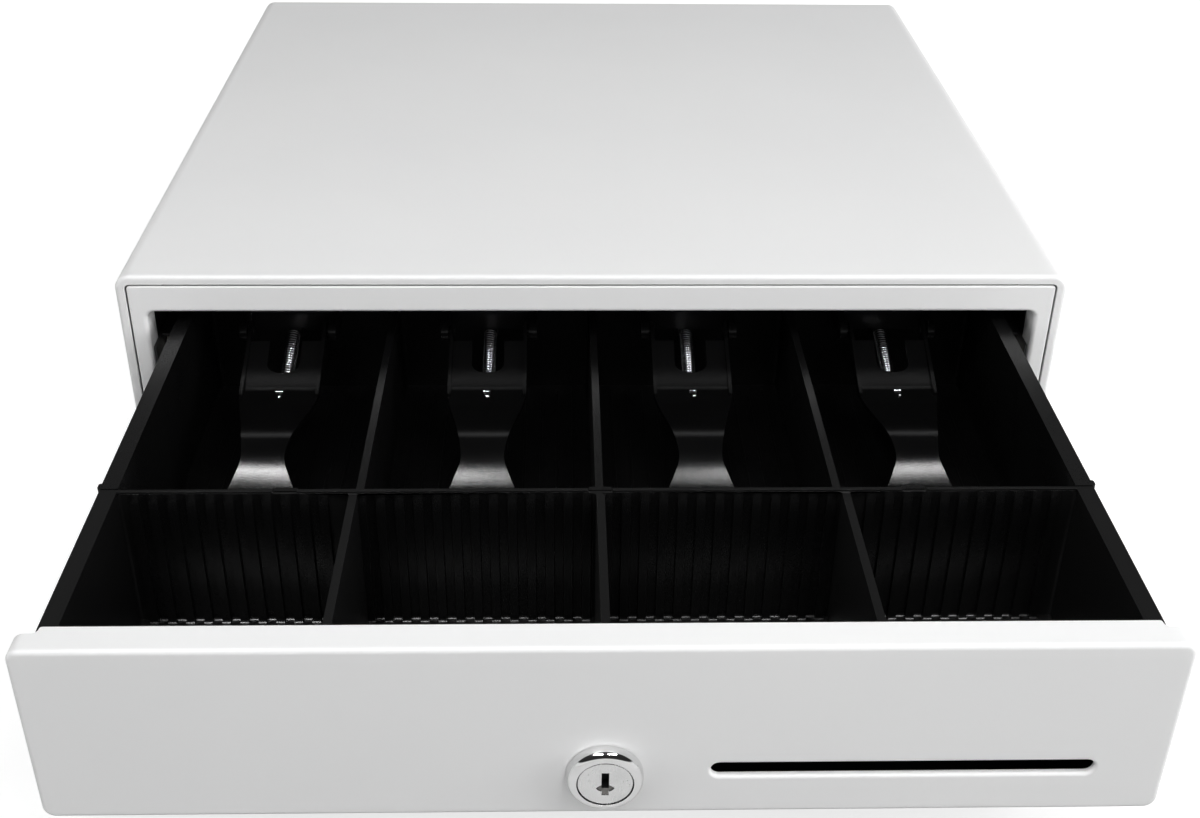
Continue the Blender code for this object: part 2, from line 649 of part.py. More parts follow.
def add_housing_roller(housing, side, sign):
    outer_face = RAIL_IN - GAP
    inner_face = outer_face - HOUSING_ROLLER_WIDTH
    place = (HOUSING_ROLLER_Y, HOUSING_ROLLER_Z)
    add_roller(f"housing_roller_{side}", housing, sign, inner_face, HOUSING_ROLLER_WIDTH,
               HOUSING_ROLLER_RADIUS, *place)
    add_roller_pin(f"housing_roller_pin_{side}", housing, sign * (RAIL_IN - GAP),
                   sign * (inner_face - GAP), *place)


def add_drawer_roller(drawer, side, sign):
    inner_face = DRAWER_RAIL_OUT + GAP
    outer_face = inner_face + DRAWER_ROLLER_WIDTH
    place = (DRAWER_ROLLER_Y, DRAWER_ROLLER_Z)
    add_roller(f"drawer_roller_{side}", drawer, sign, inner_face, DRAWER_ROLLER_WIDTH,
               DRAWER_ROLLER_RADIUS, *place)
    add_roller_pin(f"drawer_roller_pin_{side}", drawer, sign * (DRAWER_RAIL_OUT + GAP),
                   sign * (outer_face + GAP), *place)


def add_drawer_rail(drawer, side, sign):
    """Angle that rides on the housing's roller, with a tab for the drawer's own roller."""
    reach = DRAWER_RAIL_OUT + DRAWER_RAIL_REACH
    top = DRAWER_RAIL_Z + DRAWER_RAIL_HEIGHT
    outline = [(DRAWER_RAIL_IN, DRAWER_RAIL_Z), (reach, DRAWER_RAIL_Z),
               (reach, DRAWER_RAIL_Z + RAIL_SHEET), (DRAWER_RAIL_OUT, DRAWER_RAIL_Z + RAIL_SHEET),
               (DRAWER_RAIL_OUT, top), (DRAWER_RAIL_IN, top)]
    start = FRONT_TOP_FLANGE + RAIL_SET_BACK
    end = DRAWER_ROLLER_Y - DRAWER_ROLLER_RADIUS - RAIL_SHEET
    rail = add(f"drawer_rail_{side}", prism([(sign * x, z) for x, z in outline], "Y", start, end),
               drawer, BLACK_PAINT)
    x_low, x_high = side_span(sign, DRAWER_RAIL_IN, DRAWER_RAIL_OUT)
    tab_bottom = DRAWER_ROLLER_Z - ROLLER_PIN_HEAD_RADIUS - 2 * RAIL_SHEET
    join(rail, block((x_low, end - DRAWER_ROLLER_RADIUS, tab_bottom), (x_high, PAN_REAR, top)))


def add_lock_keeper(housing):
    """Angle on the base pan that the lock's cam drops behind when the drawer is shut."""
    face = cam_start() - KEEPER_GAP
    toe, lip = face - KEEPER_FOOT, face - KEEPER_SHEET
    top = SEAT_Z + KEEPER_HEIGHT
    outline = [(toe, SEAT_Z), (face, SEAT_Z), (face, top), (lip, top), (lip, SEAT_Z + KEEPER_SHEET),
               (toe, SEAT_Z + KEEPER_SHEET)]
    add("lock_keeper", prism(outline, "X", -KEEPER_WIDTH / 2, KEEPER_WIDTH / 2), housing, ZINC_STEEL)


# Latch, solenoid, ejector and switch

def add_latch_post(housing):
    """Shouldered stud that the latch hook turns on."""
    low, high = LATCH_Z - GAP, LATCH_Z + LATCH_THICKNESS + GAP
    top = high + LATCH_POST_HEAD_HEIGHT
    profile = [(0, top), (LATCH_POST_HEAD, top), (LATCH_POST_HEAD, high), (LATCH_POST_RADIUS, high),
               (LATCH_POST_RADIUS, low), (LATCH_POST_FLANGE, low), (LATCH_POST_FLANGE, SEAT_Z), (0, SEAT_Z)]
    turned("latch_post", profile, housing, ZINC_STEEL, (LATCH_X, LATCH_Y, 0), "Z")


def add_latch_hook(housing):
    """Flat hook on the post, swung clear of the strike. Drawn engaged, then turned back by its travel."""
    origin = Vector((LATCH_X, LATCH_Y, LATCH_Z))
    nose_rear = -LATCH_ARM - STRIKE_PIN_RADIUS - LATCH_PLAY
    nose_front = nose_rear - LATCH_NOSE
    nose_end = -LATCH_X + STRIKE_PIN_RADIUS + LATCH_PLAY
    half, tail_half = LATCH_HALF_WIDTH, LATCH_TAIL_HALF_WIDTH
    tail_end = LATCH_TAIL + tail_half
    outline = [(-half, nose_front), (nose_end - half, nose_front), (nose_end, nose_rear - LATCH_TIP),
               (nose_end, nose_rear), (half, nose_rear), (half, 0), (tail_half, tail_end),
               (-tail_half, tail_end), (-half, 0)]
    plate = prism(outline, "Z", 0, LATCH_THICKNESS)
    plate.transform(Matrix.Translation(origin))
    hook = add("latch_hook", plate, housing, ZINC_STEEL, origin, (0, 0, -LATCH_ANGLE))
    pin_top = LATCH_THICKNESS + LATCH_PIN_HEIGHT
    join(hook, rod(LATCH_PIN_RADIUS, "Z", (0, LATCH_TAIL), LATCH_THICKNESS / 2, pin_top, PIN_STEPS))
    cut(hook, rod(LATCH_POST_RADIUS + HOLE_PLAY, "Z", (0, 0), -LATCH_THICKNESS, 2 * LATCH_THICKNESS))


def add_solenoid(housing):
    """Coil in a U-shaped bracket, and the plunger that draws the latch hook's tail."""
    x_start = LATCH_X + SOLENOID_AHEAD
    x_end = x_start + SOLENOID_LENGTH
    y = LATCH_Y + LATCH_TAIL
    low = LATCH_Z + LATCH_THICKNESS + GAP
    axis_z = low + PLUNGER_RADIUS / 2
    plate = BRACKET_SHEET
    top = axis_z + SOLENOID_RADIUS
    outline = [(x_start - plate, SEAT_Z), (x_end + plate, SEAT_Z), (x_end + plate, top), (x_end, top),
               (x_end, SEAT_Z + plate), (x_start, SEAT_Z + plate), (x_start, top), (x_start - plate, top)]
    half = SOLENOID_RADIUS + plate
    bracket = add("solenoid_bracket", prism(outline, "Y", y - half, y + half), housing, ZINC_STEEL)
    bore = PLUNGER_RADIUS + HOLE_PLAY
    cut(bracket, rod(bore, "X", (y, axis_z), x_start - 2 * plate, x_start + plate))
    turned("solenoid_coil", tube_profile(SOLENOID_RADIUS, bore, GAP, SOLENOID_LENGTH - GAP), housing,
           COIL_TAPE, (x_start, y, axis_z), "X")

    eye_x = LATCH_X + LATCH_TAIL * math.sin(LATCH_ANGLE)
    eye_half = LATCH_PIN_RADIUS + TONGUE_RIM
    body_start = x_start - PLUNGER_OUT
    plunger = add("solenoid_plunger", rod(PLUNGER_RADIUS, "X", (y, axis_z), body_start, x_end - PLUNGER_SHORT),
                  housing, SPRING_STEEL)
    tongue_end = body_start + TONGUE_LAP
    join(plunger, block((eye_x - eye_half, y - eye_half, low), (tongue_end, y + eye_half, low + plate)))
    cut(plunger, rod(LATCH_PIN_RADIUS + TONGUE_PLAY, "Z", (eye_x, y), low - plate, low + 2 * plate))


def add_latch_strike(drawer):
    """Tongue behind the drawer pan with the pin that the latch hook holds."""
    front = PAN_REAR + GAP
    back = front + STRIKE_PLATE
    pin_y = PAN_REAR + STRIKE_REACH
    end = pin_y + STRIKE_END
    top, bottom = STRIKE_Z, STRIKE_Z - STRIKE_THICKNESS
    plate_top = top + STRIKE_PLATE_HEIGHT
    outline = [(front, bottom), (end, bottom), (end, top), (back, top), (back, plate_top), (front, plate_top)]
    strike = add("latch_strike", prism(outline, "X", -STRIKE_WIDTH / 2, STRIKE_WIDTH / 2), drawer, ZINC_STEEL)
    join(strike, rod(STRIKE_PIN_RADIUS, "Z", (0, pin_y), top - STRIKE_PIN_LENGTH,
                     top - STRIKE_THICKNESS / 2, PIN_STEPS))


def add_ejector(housing):
    """Spring on a guide rod that pushes the released drawer out."""
    spring_front = PAN_REAR - EJECTOR_PUSH
    face = spring_front + EJECTOR_SPRING_LENGTH + GAP
    toe, back = face - EJECTOR_FOOT, face + BRACKET_SHEET
    foot_top = SEAT_Z + BRACKET_SHEET
    half = EJECTOR_SPRING_RADIUS + EJECTOR_RIM
    top = EJECTOR_Z + half
    outline = [(toe, SEAT_Z), (back, SEAT_Z), (back, top), (face, top), (face, foot_top), (toe, foot_top)]
    bracket = add("ejector_bracket", prism(outline, "X", EJECTOR_X - half, EJECTOR_X + half),
                  housing, ZINC_STEEL)
    join(bracket, rod(EJECTOR_ROD_RADIUS, "Y", (EJECTOR_X, EJECTOR_Z), PAN_REAR + EJECTOR_ROD_SHORT,
                      face + BRACKET_SHEET / 2, PIN_STEPS))
    inner = EJECTOR_SPRING_RADIUS - EJECTOR_SPRING_WIRE
    turned("ejector_spring", tube_profile(EJECTOR_SPRING_RADIUS, inner, 0, EJECTOR_SPRING_LENGTH), housing,
           SPRING_STEEL, (EJECTOR_X, spring_front, EJECTOR_Z), "Y")


def add_switch(housing):
    """Switch that tells the till whether the drawer is shut, with its sprung lever."""
    front = PAN_REAR + SWITCH_BEHIND
    half = SWITCH_WIDTH / 2
    top = SEAT_Z + SWITCH_HEIGHT
    add("drawer_switch", block((SWITCH_X - half, front, SEAT_Z), (SWITCH_X + half, front + SWITCH_DEPTH, top)),
        housing, BLACK_PLASTIC)
    pivot = Vector((SWITCH_X - half + LEVER_INSET, front - LEVER_THICKNESS - GAP, top - LEVER_DROP))
    line = [(pivot.x, pivot.y), (pivot.x + LEVER_LENGTH, pivot.y - LEVER_SPLAY)]
    blade = prism(strip_outline(line, LEVER_THICKNESS), "Z", pivot.z - LEVER_WIDTH / 2,
                  pivot.z + LEVER_WIDTH / 2)
    add("switch_lever", blade, housing, SPRING_STEEL, pivot)


def add_cable_socket(housing):
    """Modular socket in the rear panel."""
    face = HOUSING_DEPTH - SHEET - GAP + SOCKET_PROUD
    half, tall = SOCKET_WIDTH / 2, SOCKET_HEIGHT / 2
    body = block((SOCKET_X - half, face - SOCKET_DEPTH, SOCKET_Z - tall),
                 (SOCKET_X + half, face, SOCKET_Z + tall))
    socket = add("cable_socket", body, housing, BLACK_PLASTIC)
    wall = SOCKET_WALL
    mouth = block((SOCKET_X - half + wall, face - SOCKET_DEPTH + 2 * wall, SOCKET_Z - tall + wall),
                  (SOCKET_X + half - wall, face + wall, SOCKET_Z + tall - wall))
    cut(socket, mouth)


# Drawer

def add_drawer_pan(drawer):
    """Sheet tray that carries both inner trays, with lower walls front and rear."""
    low = PAN_BOTTOM
    floor = low + DRAWER_SHEET
    pan = add("drawer_pan", block((-PAN_HALF, PAN_FRONT, low), (PAN_HALF, PAN_REAR, PAN_WALL_TOP)),
              drawer, BLACK_PAINT)
    inner_front, inner_rear = PAN_FRONT + DRAWER_SHEET, PAN_REAR - DRAWER_SHEET
    cut(pan, block((-PAN_INNER, inner_front, floor), (PAN_INNER, inner_rear, TOP_Z)))
    cut(pan, block((-PAN_INNER, PAN_FRONT - SHEET, low + PAN_FRONT_HEIGHT),
                   (PAN_INNER, inner_front + SHEET, TOP_Z)))
    cut(pan, block((-PAN_INNER, inner_rear - SHEET, low + PAN_REAR_HEIGHT),
                   (PAN_INNER, PAN_REAR + SHEET, TOP_Z)))
    cut(pan, rod(LOCK_BARREL_RADIUS + HOLE_PLAY, "Y", (0, LOCK_Z), 0, PAN_FRONT + 3 * DRAWER_SHEET))
    cut(pan, slot_mesh(SLOT_HEIGHT, 0, PAN_FRONT + 3 * DRAWER_SHEET))
    cam_y = cam_start()
    play = LOCK_CAM_PLAY
    cut(pan, block((-LOCK_CAM_WIDTH / 2 - play, cam_y - play, low - SHEET),
                   (LOCK_CAM_REACH + play, cam_y + LOCK_CAM_THICKNESS + play, floor + SHEET)))


def slot_mesh(height, y_low, y_high):
    """Round-ended slot for slips, as a solid."""
    reach = SLOT_LENGTH / 2 - SLOT_HEIGHT / 2
    right = arc((SLOT_CENTRE_X + reach, SLOT_Z), height / 2, -math.pi / 2, math.pi / 2, 6)
    left = arc((SLOT_CENTRE_X - reach, SLOT_Z), height / 2, math.pi / 2, 3 * math.pi / 2, 6)
    return prism(right + left, "Y", y_low, y_high)


def add_drawer_front(drawer):
    """Folded panel with returns on all sides. The top one is deeper and stops short of the ends."""
    panel = block((-FRONT_HALF, 0, FRONT_BOTTOM), (FRONT_HALF, FRONT_TOP_FLANGE, FRONT_TOP))
    round_edges(panel, FRONT_CORNER, along(1))

    def on_face(start, end):
        return max(start.y, end.y) < 1e-6
    round_edges(panel, EDGE_BEND, on_face, BEND_STEPS)
    front = add("drawer_front", panel, drawer, WHITE_PAINT)
    hollow = block((SHEET - FRONT_HALF, SHEET, FRONT_BOTTOM + SHEET),
                   (FRONT_HALF - SHEET, 2 * FRONT_TOP_FLANGE, FRONT_TOP - SHEET))
    cut(front, round_edges(hollow, FRONT_CORNER - SHEET, along(1)))
    outer = FRONT_HALF + SHEET
    flange_half = FRONT_HALF - FLANGE_END
    for sign in SIDES.values():
        x_low, x_high = side_span(sign, flange_half, outer)
        cut(front, block((x_low, FRONT_SIDE_RETURN, FRONT_BOTTOM - SHEET),
                         (x_high, FRONT_TOP_FLANGE + SHEET, FRONT_TOP + SHEET)))
    cut(front, block((-outer, FRONT_SIDE_RETURN, FRONT_BOTTOM - SHEET),
                     (outer, FRONT_TOP_FLANGE + SHEET, LOCK_Z)))
    cut(front, rod(LOCK_BARREL_RADIUS + HOLE_PLAY, "Y", (0, LOCK_Z), -SHEET, 3 * SHEET))
    cut(front, slot_mesh(SLOT_HEIGHT, -SHEET, 3 * SHEET))


# Lock

def cam_start():
    """The lock cam's front face."""
    return LOCK_BARREL_LENGTH + PAN_FRONT + DRAWER_SHEET + GAP


def add_lock_body(drawer):
    """Bezel on the drawer front and the barrel behind it."""
    seat = -GAP
    proud = LOCK_PROUD
    recess = LOCK_FACE_RADIUS + HOLE_PLAY
    bore = LOCK_PLUG_RADIUS + HOLE_PLAY
    rear = PAN_FRONT + DRAWER_SHEET + LOCK_BARREL_LENGTH
    round_part = proud * 0.62
    nose = arc((LOCK_BEZEL_RADIUS - round_part, round_part - proud), round_part, 0, -math.pi / 2, CORNER_STEPS)
    floor = LOCK_FACE_DEPTH + GAP - proud
    ring = [(LOCK_BARREL_RADIUS, rear), (bore, rear), (bore, floor), (recess, floor),
            (recess, LOCK_EDGE - proud), (recess + LOCK_EDGE, -proud)]
    profile = ring + nose[::-1] + [(LOCK_BEZEL_RADIUS, seat), (LOCK_BARREL_RADIUS, seat)]
    turned("lock_body", profile[::-1], drawer, CHROME, (0, 0, LOCK_Z), "Y")


def add_lock_nut(drawer):
    seat = PAN_FRONT + DRAWER_SHEET + GAP
    outline = arc((0, LOCK_Z), LOCK_NUT_RADIUS, 0, 2 * math.pi, 6)[:-1]
    nut = add("lock_nut", prism(outline, "Y", seat, seat + LOCK_NUT_HEIGHT), drawer, ZINC_STEEL)
    cut(nut, rod(LOCK_BARREL_RADIUS + HOLE_PLAY, "Y", (0, LOCK_Z), seat - SHEET,
                 seat + LOCK_NUT_HEIGHT + SHEET))


def add_lock_plug(drawer):
    """Turning plug: its face in the bezel, its shaft through the barrel and a tail for the cam."""
    face = LOCK_PLUG_SET - LOCK_PROUD
    shoulder = LOCK_FACE_DEPTH - LOCK_PROUD
    shaft_end = cam_start() - GAP
    tail_end = shaft_end + LOCK_TAIL_LENGTH
    profile = [(0, tail_end), (LOCK_TAIL_RADIUS, tail_end), (LOCK_TAIL_RADIUS, shaft_end),
               (LOCK_PLUG_RADIUS, shaft_end), (LOCK_PLUG_RADIUS, shoulder), (LOCK_FACE_RADIUS, shoulder),
               (LOCK_FACE_RADIUS, face + PLUG_EDGE), (LOCK_FACE_RADIUS - PLUG_EDGE, face), (0, face)]
    plug = turned("lock_plug", profile, drawer, CHROME, (0, 0, LOCK_Z), "Y")
    keyhole = block((-KEYHOLE_WIDTH / 2, -KEYHOLE_HEIGHT / 2, face - SHEET),
                    (KEYHOLE_WIDTH / 2, KEYHOLE_HEIGHT / 2, face + KEYHOLE_DEPTH))
    cut(plug, keyhole)


def add_lock_cam(drawer):
    """Arm on the plug's tail, level when unlocked."""
    start = cam_start()
    half = LOCK_CAM_WIDTH / 2
    tip = arc((LOCK_CAM_REACH - half, 0), half, -math.pi / 2, math.pi / 2, 6)
    heel = arc((0, 0), LOCK_CAM_HUB, math.pi / 2, 3 * math.pi / 2, 8)
    outline = [(x, LOCK_Z + z) for x, z in tip + heel]
    cam = add("lock_cam", prism(outline, "Y", start, start + LOCK_CAM_THICKNESS), drawer, ZINC_STEEL,
              (0, 0, LOCK_Z))
    cut(cam, rod(LOCK_TAIL_RADIUS + HOLE_PLAY, "Y", (0, 0), start - SHEET, start + 2 * SHEET))


# Trays

def pockets():
    """X range of each of the four compartments, left to right."""
    walls = [-DIVIDER_PITCH, 0, DIVIDER_PITCH]
    lows = [-POCKET_HALF] + [wall + DIVIDER / 2 for wall in walls]
    highs = [wall - DIVIDER / 2 for wall in walls] + [POCKET_HALF]
    return list(zip(lows, highs))


def add_note_tray(drawer):
    """Moulded tray with four note compartments and a flat rim that hangs on the drawer pan."""
    front, rear = NOTE_FRONT, NOTE_REAR
    bottom = TRAY_FLOOR_Z - TRAY_FLOOR
    body = block((-TRAY_HALF, front, bottom), (TRAY_HALF, rear, RIM_TOP))
    tray = add("note_tray", body, drawer, BLACK_PLASTIC)
    for sign in SIDES.values():
        x_low, x_high = side_span(sign, POCKET_HALF + TRAY_WALL / 2, RIM_HALF)
        join(tray, block((x_low, front, RIM_TOP - RIM_THICKNESS), (x_high, rear, RIM_TOP)))
    divider_top = RIM_TOP - NOTE_DIVIDER_DROP
    for x_low, x_high in pockets():
        cut(tray, block((x_low, front + TRAY_WALL, TRAY_FLOOR_Z), (x_high, rear - TRAY_WALL, TOP_Z)))
    cut(tray, block((-POCKET_HALF, front - TRAY_WALL, divider_top),
                    (POCKET_HALF, rear - TRAY_WALL, TOP_Z)))


def scoop(depth, front, rear, bottom, top):
    """Side outline of a coin compartment: upright at the rear, curved up at the front."""
    centre = (front + depth, top)
    curve = arc(centre, (depth, top - bottom), math.pi, 3 * math.pi / 2, 8)
    return [*curve, (rear, bottom), (rear, top)]


def add_coin_tray(drawer):
    """Moulded tray with four scooped compartments. It lifts out."""
    top = RIM_TOP - COIN_RIM_DROP
    bottom = COIN_FLOOR_Z - TRAY_FLOOR
    outer = scoop(SCOOP_LENGTH, COIN_FRONT, COIN_REAR, bottom, top)
    origin = (0, COIN_FRONT, top)
    tray = add("coin_tray", prism(outer, "X", -TRAY_HALF, TRAY_HALF), drawer, BLACK_PLASTIC, origin)
    rim_low = RIM_TOP - RIM_THICKNESS
    for sign in SIDES.values():
        x_low, x_high = side_span(sign, POCKET_HALF + TRAY_WALL / 2, RIM_HALF)
        join(tray, block((x_low, COIN_FRONT, rim_low), (x_high, COIN_REAR, top)), origin)
        x_low, x_high = side_span(sign, RIM_HALF - HOOK_WIDTH, RIM_HALF)
        join(tray, block((x_low, COIN_FRONT - HOOK_LENGTH, rim_low), (x_high, COIN_FRONT + HOOK_LENGTH, top)),
             origin)
    inner = scoop(SCOOP_LENGTH - TRAY_WALL, COIN_FRONT + TRAY_WALL, COIN_REAR - COIN_WALL, COIN_FLOOR_Z, top)
    above = [(y, z + (SHEET if z > top - 1e-6 else 0)) for y, z in inner]
    for x_low, x_high in pockets():
        cut(tray, prism(above, "X", x_low, x_high), origin)
    cut(tray, block((-POCKET_HALF, COIN_FRONT + TRAY_WALL, top - COIN_DIVIDER_DROP),
                    (POCKET_HALF, COIN_REAR - COIN_WALL, TOP_Z)), origin)


# Note clips. Side views are (y, z) from the hinge, and the plan is (half width, y).

CLIP_LINE = [(-0.0082, -0.0015), (-0.0190, -0.0064), (-0.0290, -0.0109), (-0.0345, -0.0130),
             (-0.0420, -0.0137), (-0.0550, -0.0131), (-0.0684, -0.0120), (-0.0760, -0.0136),
             (-0.0825, -0.0175), (-0.0894, -0.0247), (-0.0960, -0.0320), (-0.1010, -0.0366),
             (-0.1050, -0.0382)]
CLIP_PLAN = [(0.0172, -0.0350), (0.0155, -0.0455), (0.0131, -0.0560), (0.0107, -0.0684),
             (0.0091, -0.0780), (0.0092, -0.0828), (0.0113, -0.0863), (0.0135, -0.0894),
             (0.0160, -0.0932), (0.0172, -0.0975), (0.0156, -0.1050)]
CLIP_SLOT_END = -0.0247
CLIP_FLANGE_END = (-0.0350, -0.0132)
SPRING_FRONT = (-0.0260, -0.0178)
SPRING_REAR = (0.0120, -0.0077)
SPRING_TAB = (-0.0292, -0.0205)      # front and bottom of the tab that the spring pulls on
SPRING_TAB_WIDTH = 0.006
SPRING_TAB_ROOT = -0.0105            # its top, in the clip's sheet


def clip_positions():
    """X of each clip: left of the middle of a full divider pitch."""
    return {number: (number - 2.5) * DIVIDER_PITCH - CLIP_SHIFT for number in (1, 2, 3, 4)}


def add_note_clip(drawer, number, x):
    """Sprung arm that holds the notes down."""
    origin = Vector((x, CLIP_Y, CLIP_Z))
    half = CLIP_WIDTH / 2
    side = strip_outline(smooth_line(CLIP_LINE, 2), CLIP_THICKNESS)
    arm = prism(side, "X", -half, half)
    arm.transform(Matrix.Translation(origin))
    clip = add(f"note_clip_{number}", arm, drawer, BLACK_PLASTIC, origin)
    right = smooth_line(CLIP_PLAN, 3)
    rear, low = CLIP_EAR, 2 * min(z for y, z in CLIP_LINE)
    plan = [(half, rear), *right, *[(-across, y) for across, y in reversed(right)], (-half, rear)]
    boolean(clip, prism(plan, "Z", low, rear), "INTERSECT")
    ear = arc((0, 0), CLIP_EAR, math.radians(-70), math.radians(150), 8)
    end_y, end_z = CLIP_FLANGE_END
    flange = [*ear, (end_y - CLIP_THICKNESS, end_z + CLIP_THICKNESS), (end_y, end_z - CLIP_THICKNESS / 2)]
    for sign in SIDES.values():
        join(clip, prism(flange, "X", *side_span(sign, half - CLIP_FLANGE, half)))
    tab_y, tab_z = SPRING_TAB
    join(clip, block((-SPRING_TAB_WIDTH / 2, tab_y, tab_z),
                     (SPRING_TAB_WIDTH / 2, tab_y + CLIP_THICKNESS, SPRING_TAB_ROOT)))
    cut(clip, block((-CLIP_SLOT / 2, CLIP_SLOT_END, low), (CLIP_SLOT / 2, rear, rear)))
    cut(clip, rod(CLIP_PIN_RADIUS + HOLE_PLAY, "X", (0, 0), -half - SHEET, half + SHEET, PIN_STEPS))


def add_clip_bracket(drawer, number, x):
    """Bracket on the tray's rear wall whose lugs carry the clip."""
    origin = Vector((x, CLIP_Y, CLIP_Z))
    inner = CLIP_WIDTH / 2 + BRACKET_PLAY
    outer = inner + BRACKET_LUG
    rear = CLIP_HINGE_AHEAD - GAP
    web = block((-outer, rear - BRACKET_WEB, -CLIP_EAR), (outer, rear, CLIP_EAR))
    web.transform(Matrix.Translation(origin))
    bracket = add(f"clip_bracket_{number}", web, drawer, BLACK_PLASTIC, origin)
    nose = arc((0, 0), CLIP_EAR, math.pi / 2, 3 * math.pi / 2, 8)
    lug = [*nose, (rear, -CLIP_EAR), (rear, CLIP_EAR)]
    for sign in SIDES.values():
        join(bracket, prism(lug, "X", *side_span(sign, inner, outer)))
        pin_end = CLIP_WIDTH / 2 - CLIP_FLANGE - HOLE_PLAY
        join(bracket, rod(CLIP_PIN_RADIUS, "X", (0, 0), *side_span(sign, pin_end, inner + BRACKET_LUG / 2),
                          PIN_STEPS))
    anchor_y, anchor_z = SPRING_REAR
    post = 2 * CLIP_SPRING_RADIUS
    join(bracket, block((-post / 2, anchor_y + SPRING_SEAT, anchor_z - post / 2), (post / 2, rear, 0)))


def add_clip_spring(drawer, number, x):
    """Coil between the clip's slot and the bracket, as the tube that encloses it."""
    (front_y, front_z), (rear_y, rear_z) = SPRING_FRONT, SPRING_REAR
    length = math.hypot(rear_y - front_y, rear_z - front_z)
    slope = math.atan2(rear_z - front_z, rear_y - front_y)
    profile = tube_profile(CLIP_SPRING_RADIUS, CLIP_SPRING_RADIUS - CLIP_SPRING_WIRE, 0, length)
    spring = turned(f"clip_spring_{number}", profile, drawer, SPRING_STEEL,
                    (x, CLIP_Y + front_y, CLIP_Z + front_z), "Y")
    spring.modifiers["turn"].steps = spring.modifiers["turn"].render_steps = PIN_STEPS
    spring.rotation_euler = Euler((slope - math.pi / 2, 0, 0))


def main():
    clear_scene()
    housing = empty("housing_frame", (0, HOUSING_FRONT_Y, 0))
    drawer = empty("drawer_frame", (0, HOUSING_FRONT_Y - TRAVEL, 0))
    bpy.context.view_layer.update()
    add_top_cover(housing)
    add_base_pan(housing)
    add_rear_panel(housing)
    add_rear_screws(housing)
    add_front_frame(housing)
    add_feet(housing)
    add_lock_keeper(housing)
    add_latch_post(housing)
    add_latch_hook(housing)
    add_solenoid(housing)
    add_ejector(housing)
    add_switch(housing)
    add_cable_socket(housing)
    add_drawer_pan(drawer)
    add_drawer_front(drawer)
    add_latch_strike(drawer)
    add_lock_body(drawer)
    add_lock_nut(drawer)
    add_lock_plug(drawer)
    add_lock_cam(drawer)
    add_note_tray(drawer)
    add_coin_tray(drawer)
    for side, sign in SIDES.items():
        add_side_plate(housing, side, sign)
        add_housing_rail(housing, side, sign)
        add_housing_roller(housing, side, sign)
        add_drawer_rail(drawer, side, sign)
        add_drawer_roller(drawer, side, sign)
    for number, x in clip_positions().items():
        add_note_clip(drawer, number, x)
        add_clip_bracket(drawer, number, x)
        add_clip_spring(drawer, number, x)


main()
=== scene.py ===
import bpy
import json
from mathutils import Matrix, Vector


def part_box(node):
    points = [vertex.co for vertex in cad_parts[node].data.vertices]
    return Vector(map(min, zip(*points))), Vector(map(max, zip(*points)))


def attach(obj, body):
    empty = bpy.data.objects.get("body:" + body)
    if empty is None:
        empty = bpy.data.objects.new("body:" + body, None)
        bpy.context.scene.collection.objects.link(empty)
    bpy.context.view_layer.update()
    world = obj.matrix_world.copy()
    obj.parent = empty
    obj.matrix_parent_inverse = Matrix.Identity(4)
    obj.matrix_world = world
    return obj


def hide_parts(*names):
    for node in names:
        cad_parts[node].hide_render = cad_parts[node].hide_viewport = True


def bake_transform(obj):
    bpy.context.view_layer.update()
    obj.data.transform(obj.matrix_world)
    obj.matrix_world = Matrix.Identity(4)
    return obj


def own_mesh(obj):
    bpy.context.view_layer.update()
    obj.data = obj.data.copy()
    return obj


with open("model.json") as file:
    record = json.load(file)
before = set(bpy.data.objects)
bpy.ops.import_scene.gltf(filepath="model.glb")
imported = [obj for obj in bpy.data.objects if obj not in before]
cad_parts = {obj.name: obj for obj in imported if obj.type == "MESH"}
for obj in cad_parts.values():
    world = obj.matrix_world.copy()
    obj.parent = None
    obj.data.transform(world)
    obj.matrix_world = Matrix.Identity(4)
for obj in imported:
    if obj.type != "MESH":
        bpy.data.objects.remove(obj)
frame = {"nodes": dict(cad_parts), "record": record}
"""The cash drawer's looks: its visible pieces, their finishes, the floor, the lamps and the camera."""

import json
import math

import bmesh
import bpy
from mathutils import Euler, Matrix, Vector

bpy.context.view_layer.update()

# Places, from the frame
cover_low, cover_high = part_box("top_cover")
fascia_low, fascia_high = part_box("front_frame")
panel_low, panel_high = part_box("drawer_front")
note_low, note_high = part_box("note_tray")
coin_low, coin_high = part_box("coin_tray")
pan_low, pan_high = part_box("drawer_pan")
plug_low, plug_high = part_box("lock_plug")

# Housing
SHEET = 0.0012                  # painted steel
LONG_BEND = 0.0065              # cover's two long upper edges
EDGE_BEND = 0.0018              # its front and rear edges, and round the drawer front's face
INNER_BEND = 0.0006
CUT_EDGE = 0.00025              # softening of a sheared edge
FRONT_LIP = 0.0042
REAR_LIP = 0.010
LIP_CORNER = 0.0023
FASCIA_SIDE = 0.0074
FASCIA_TOP = 0.0128
FASCIA_SILL = 0.0081
FASCIA_EDGE = 0.0006            # rounding of its outer edge
SEAM = 0.00045                  # fascia to the cover's lip
FASCIA_CORNER = 0.0020
OPENING_CORNER = 0.0035
OPENING_BEND = 0.0016
SIDE_RETURN = 0.012
LEDGE_RETURN = 0.009
HOLD = 0.0005                   # a bend's end to the row of points that keeps the flat sheet flat
SHEARED = ((0, CUT_EDGE), (CUT_EDGE, 0), (SHEET - CUT_EDGE, 0), (SHEET, CUT_EDGE))    # across a sheet's end
PAST = 0.001                    # how far a cutter starts outside the face that it cuts

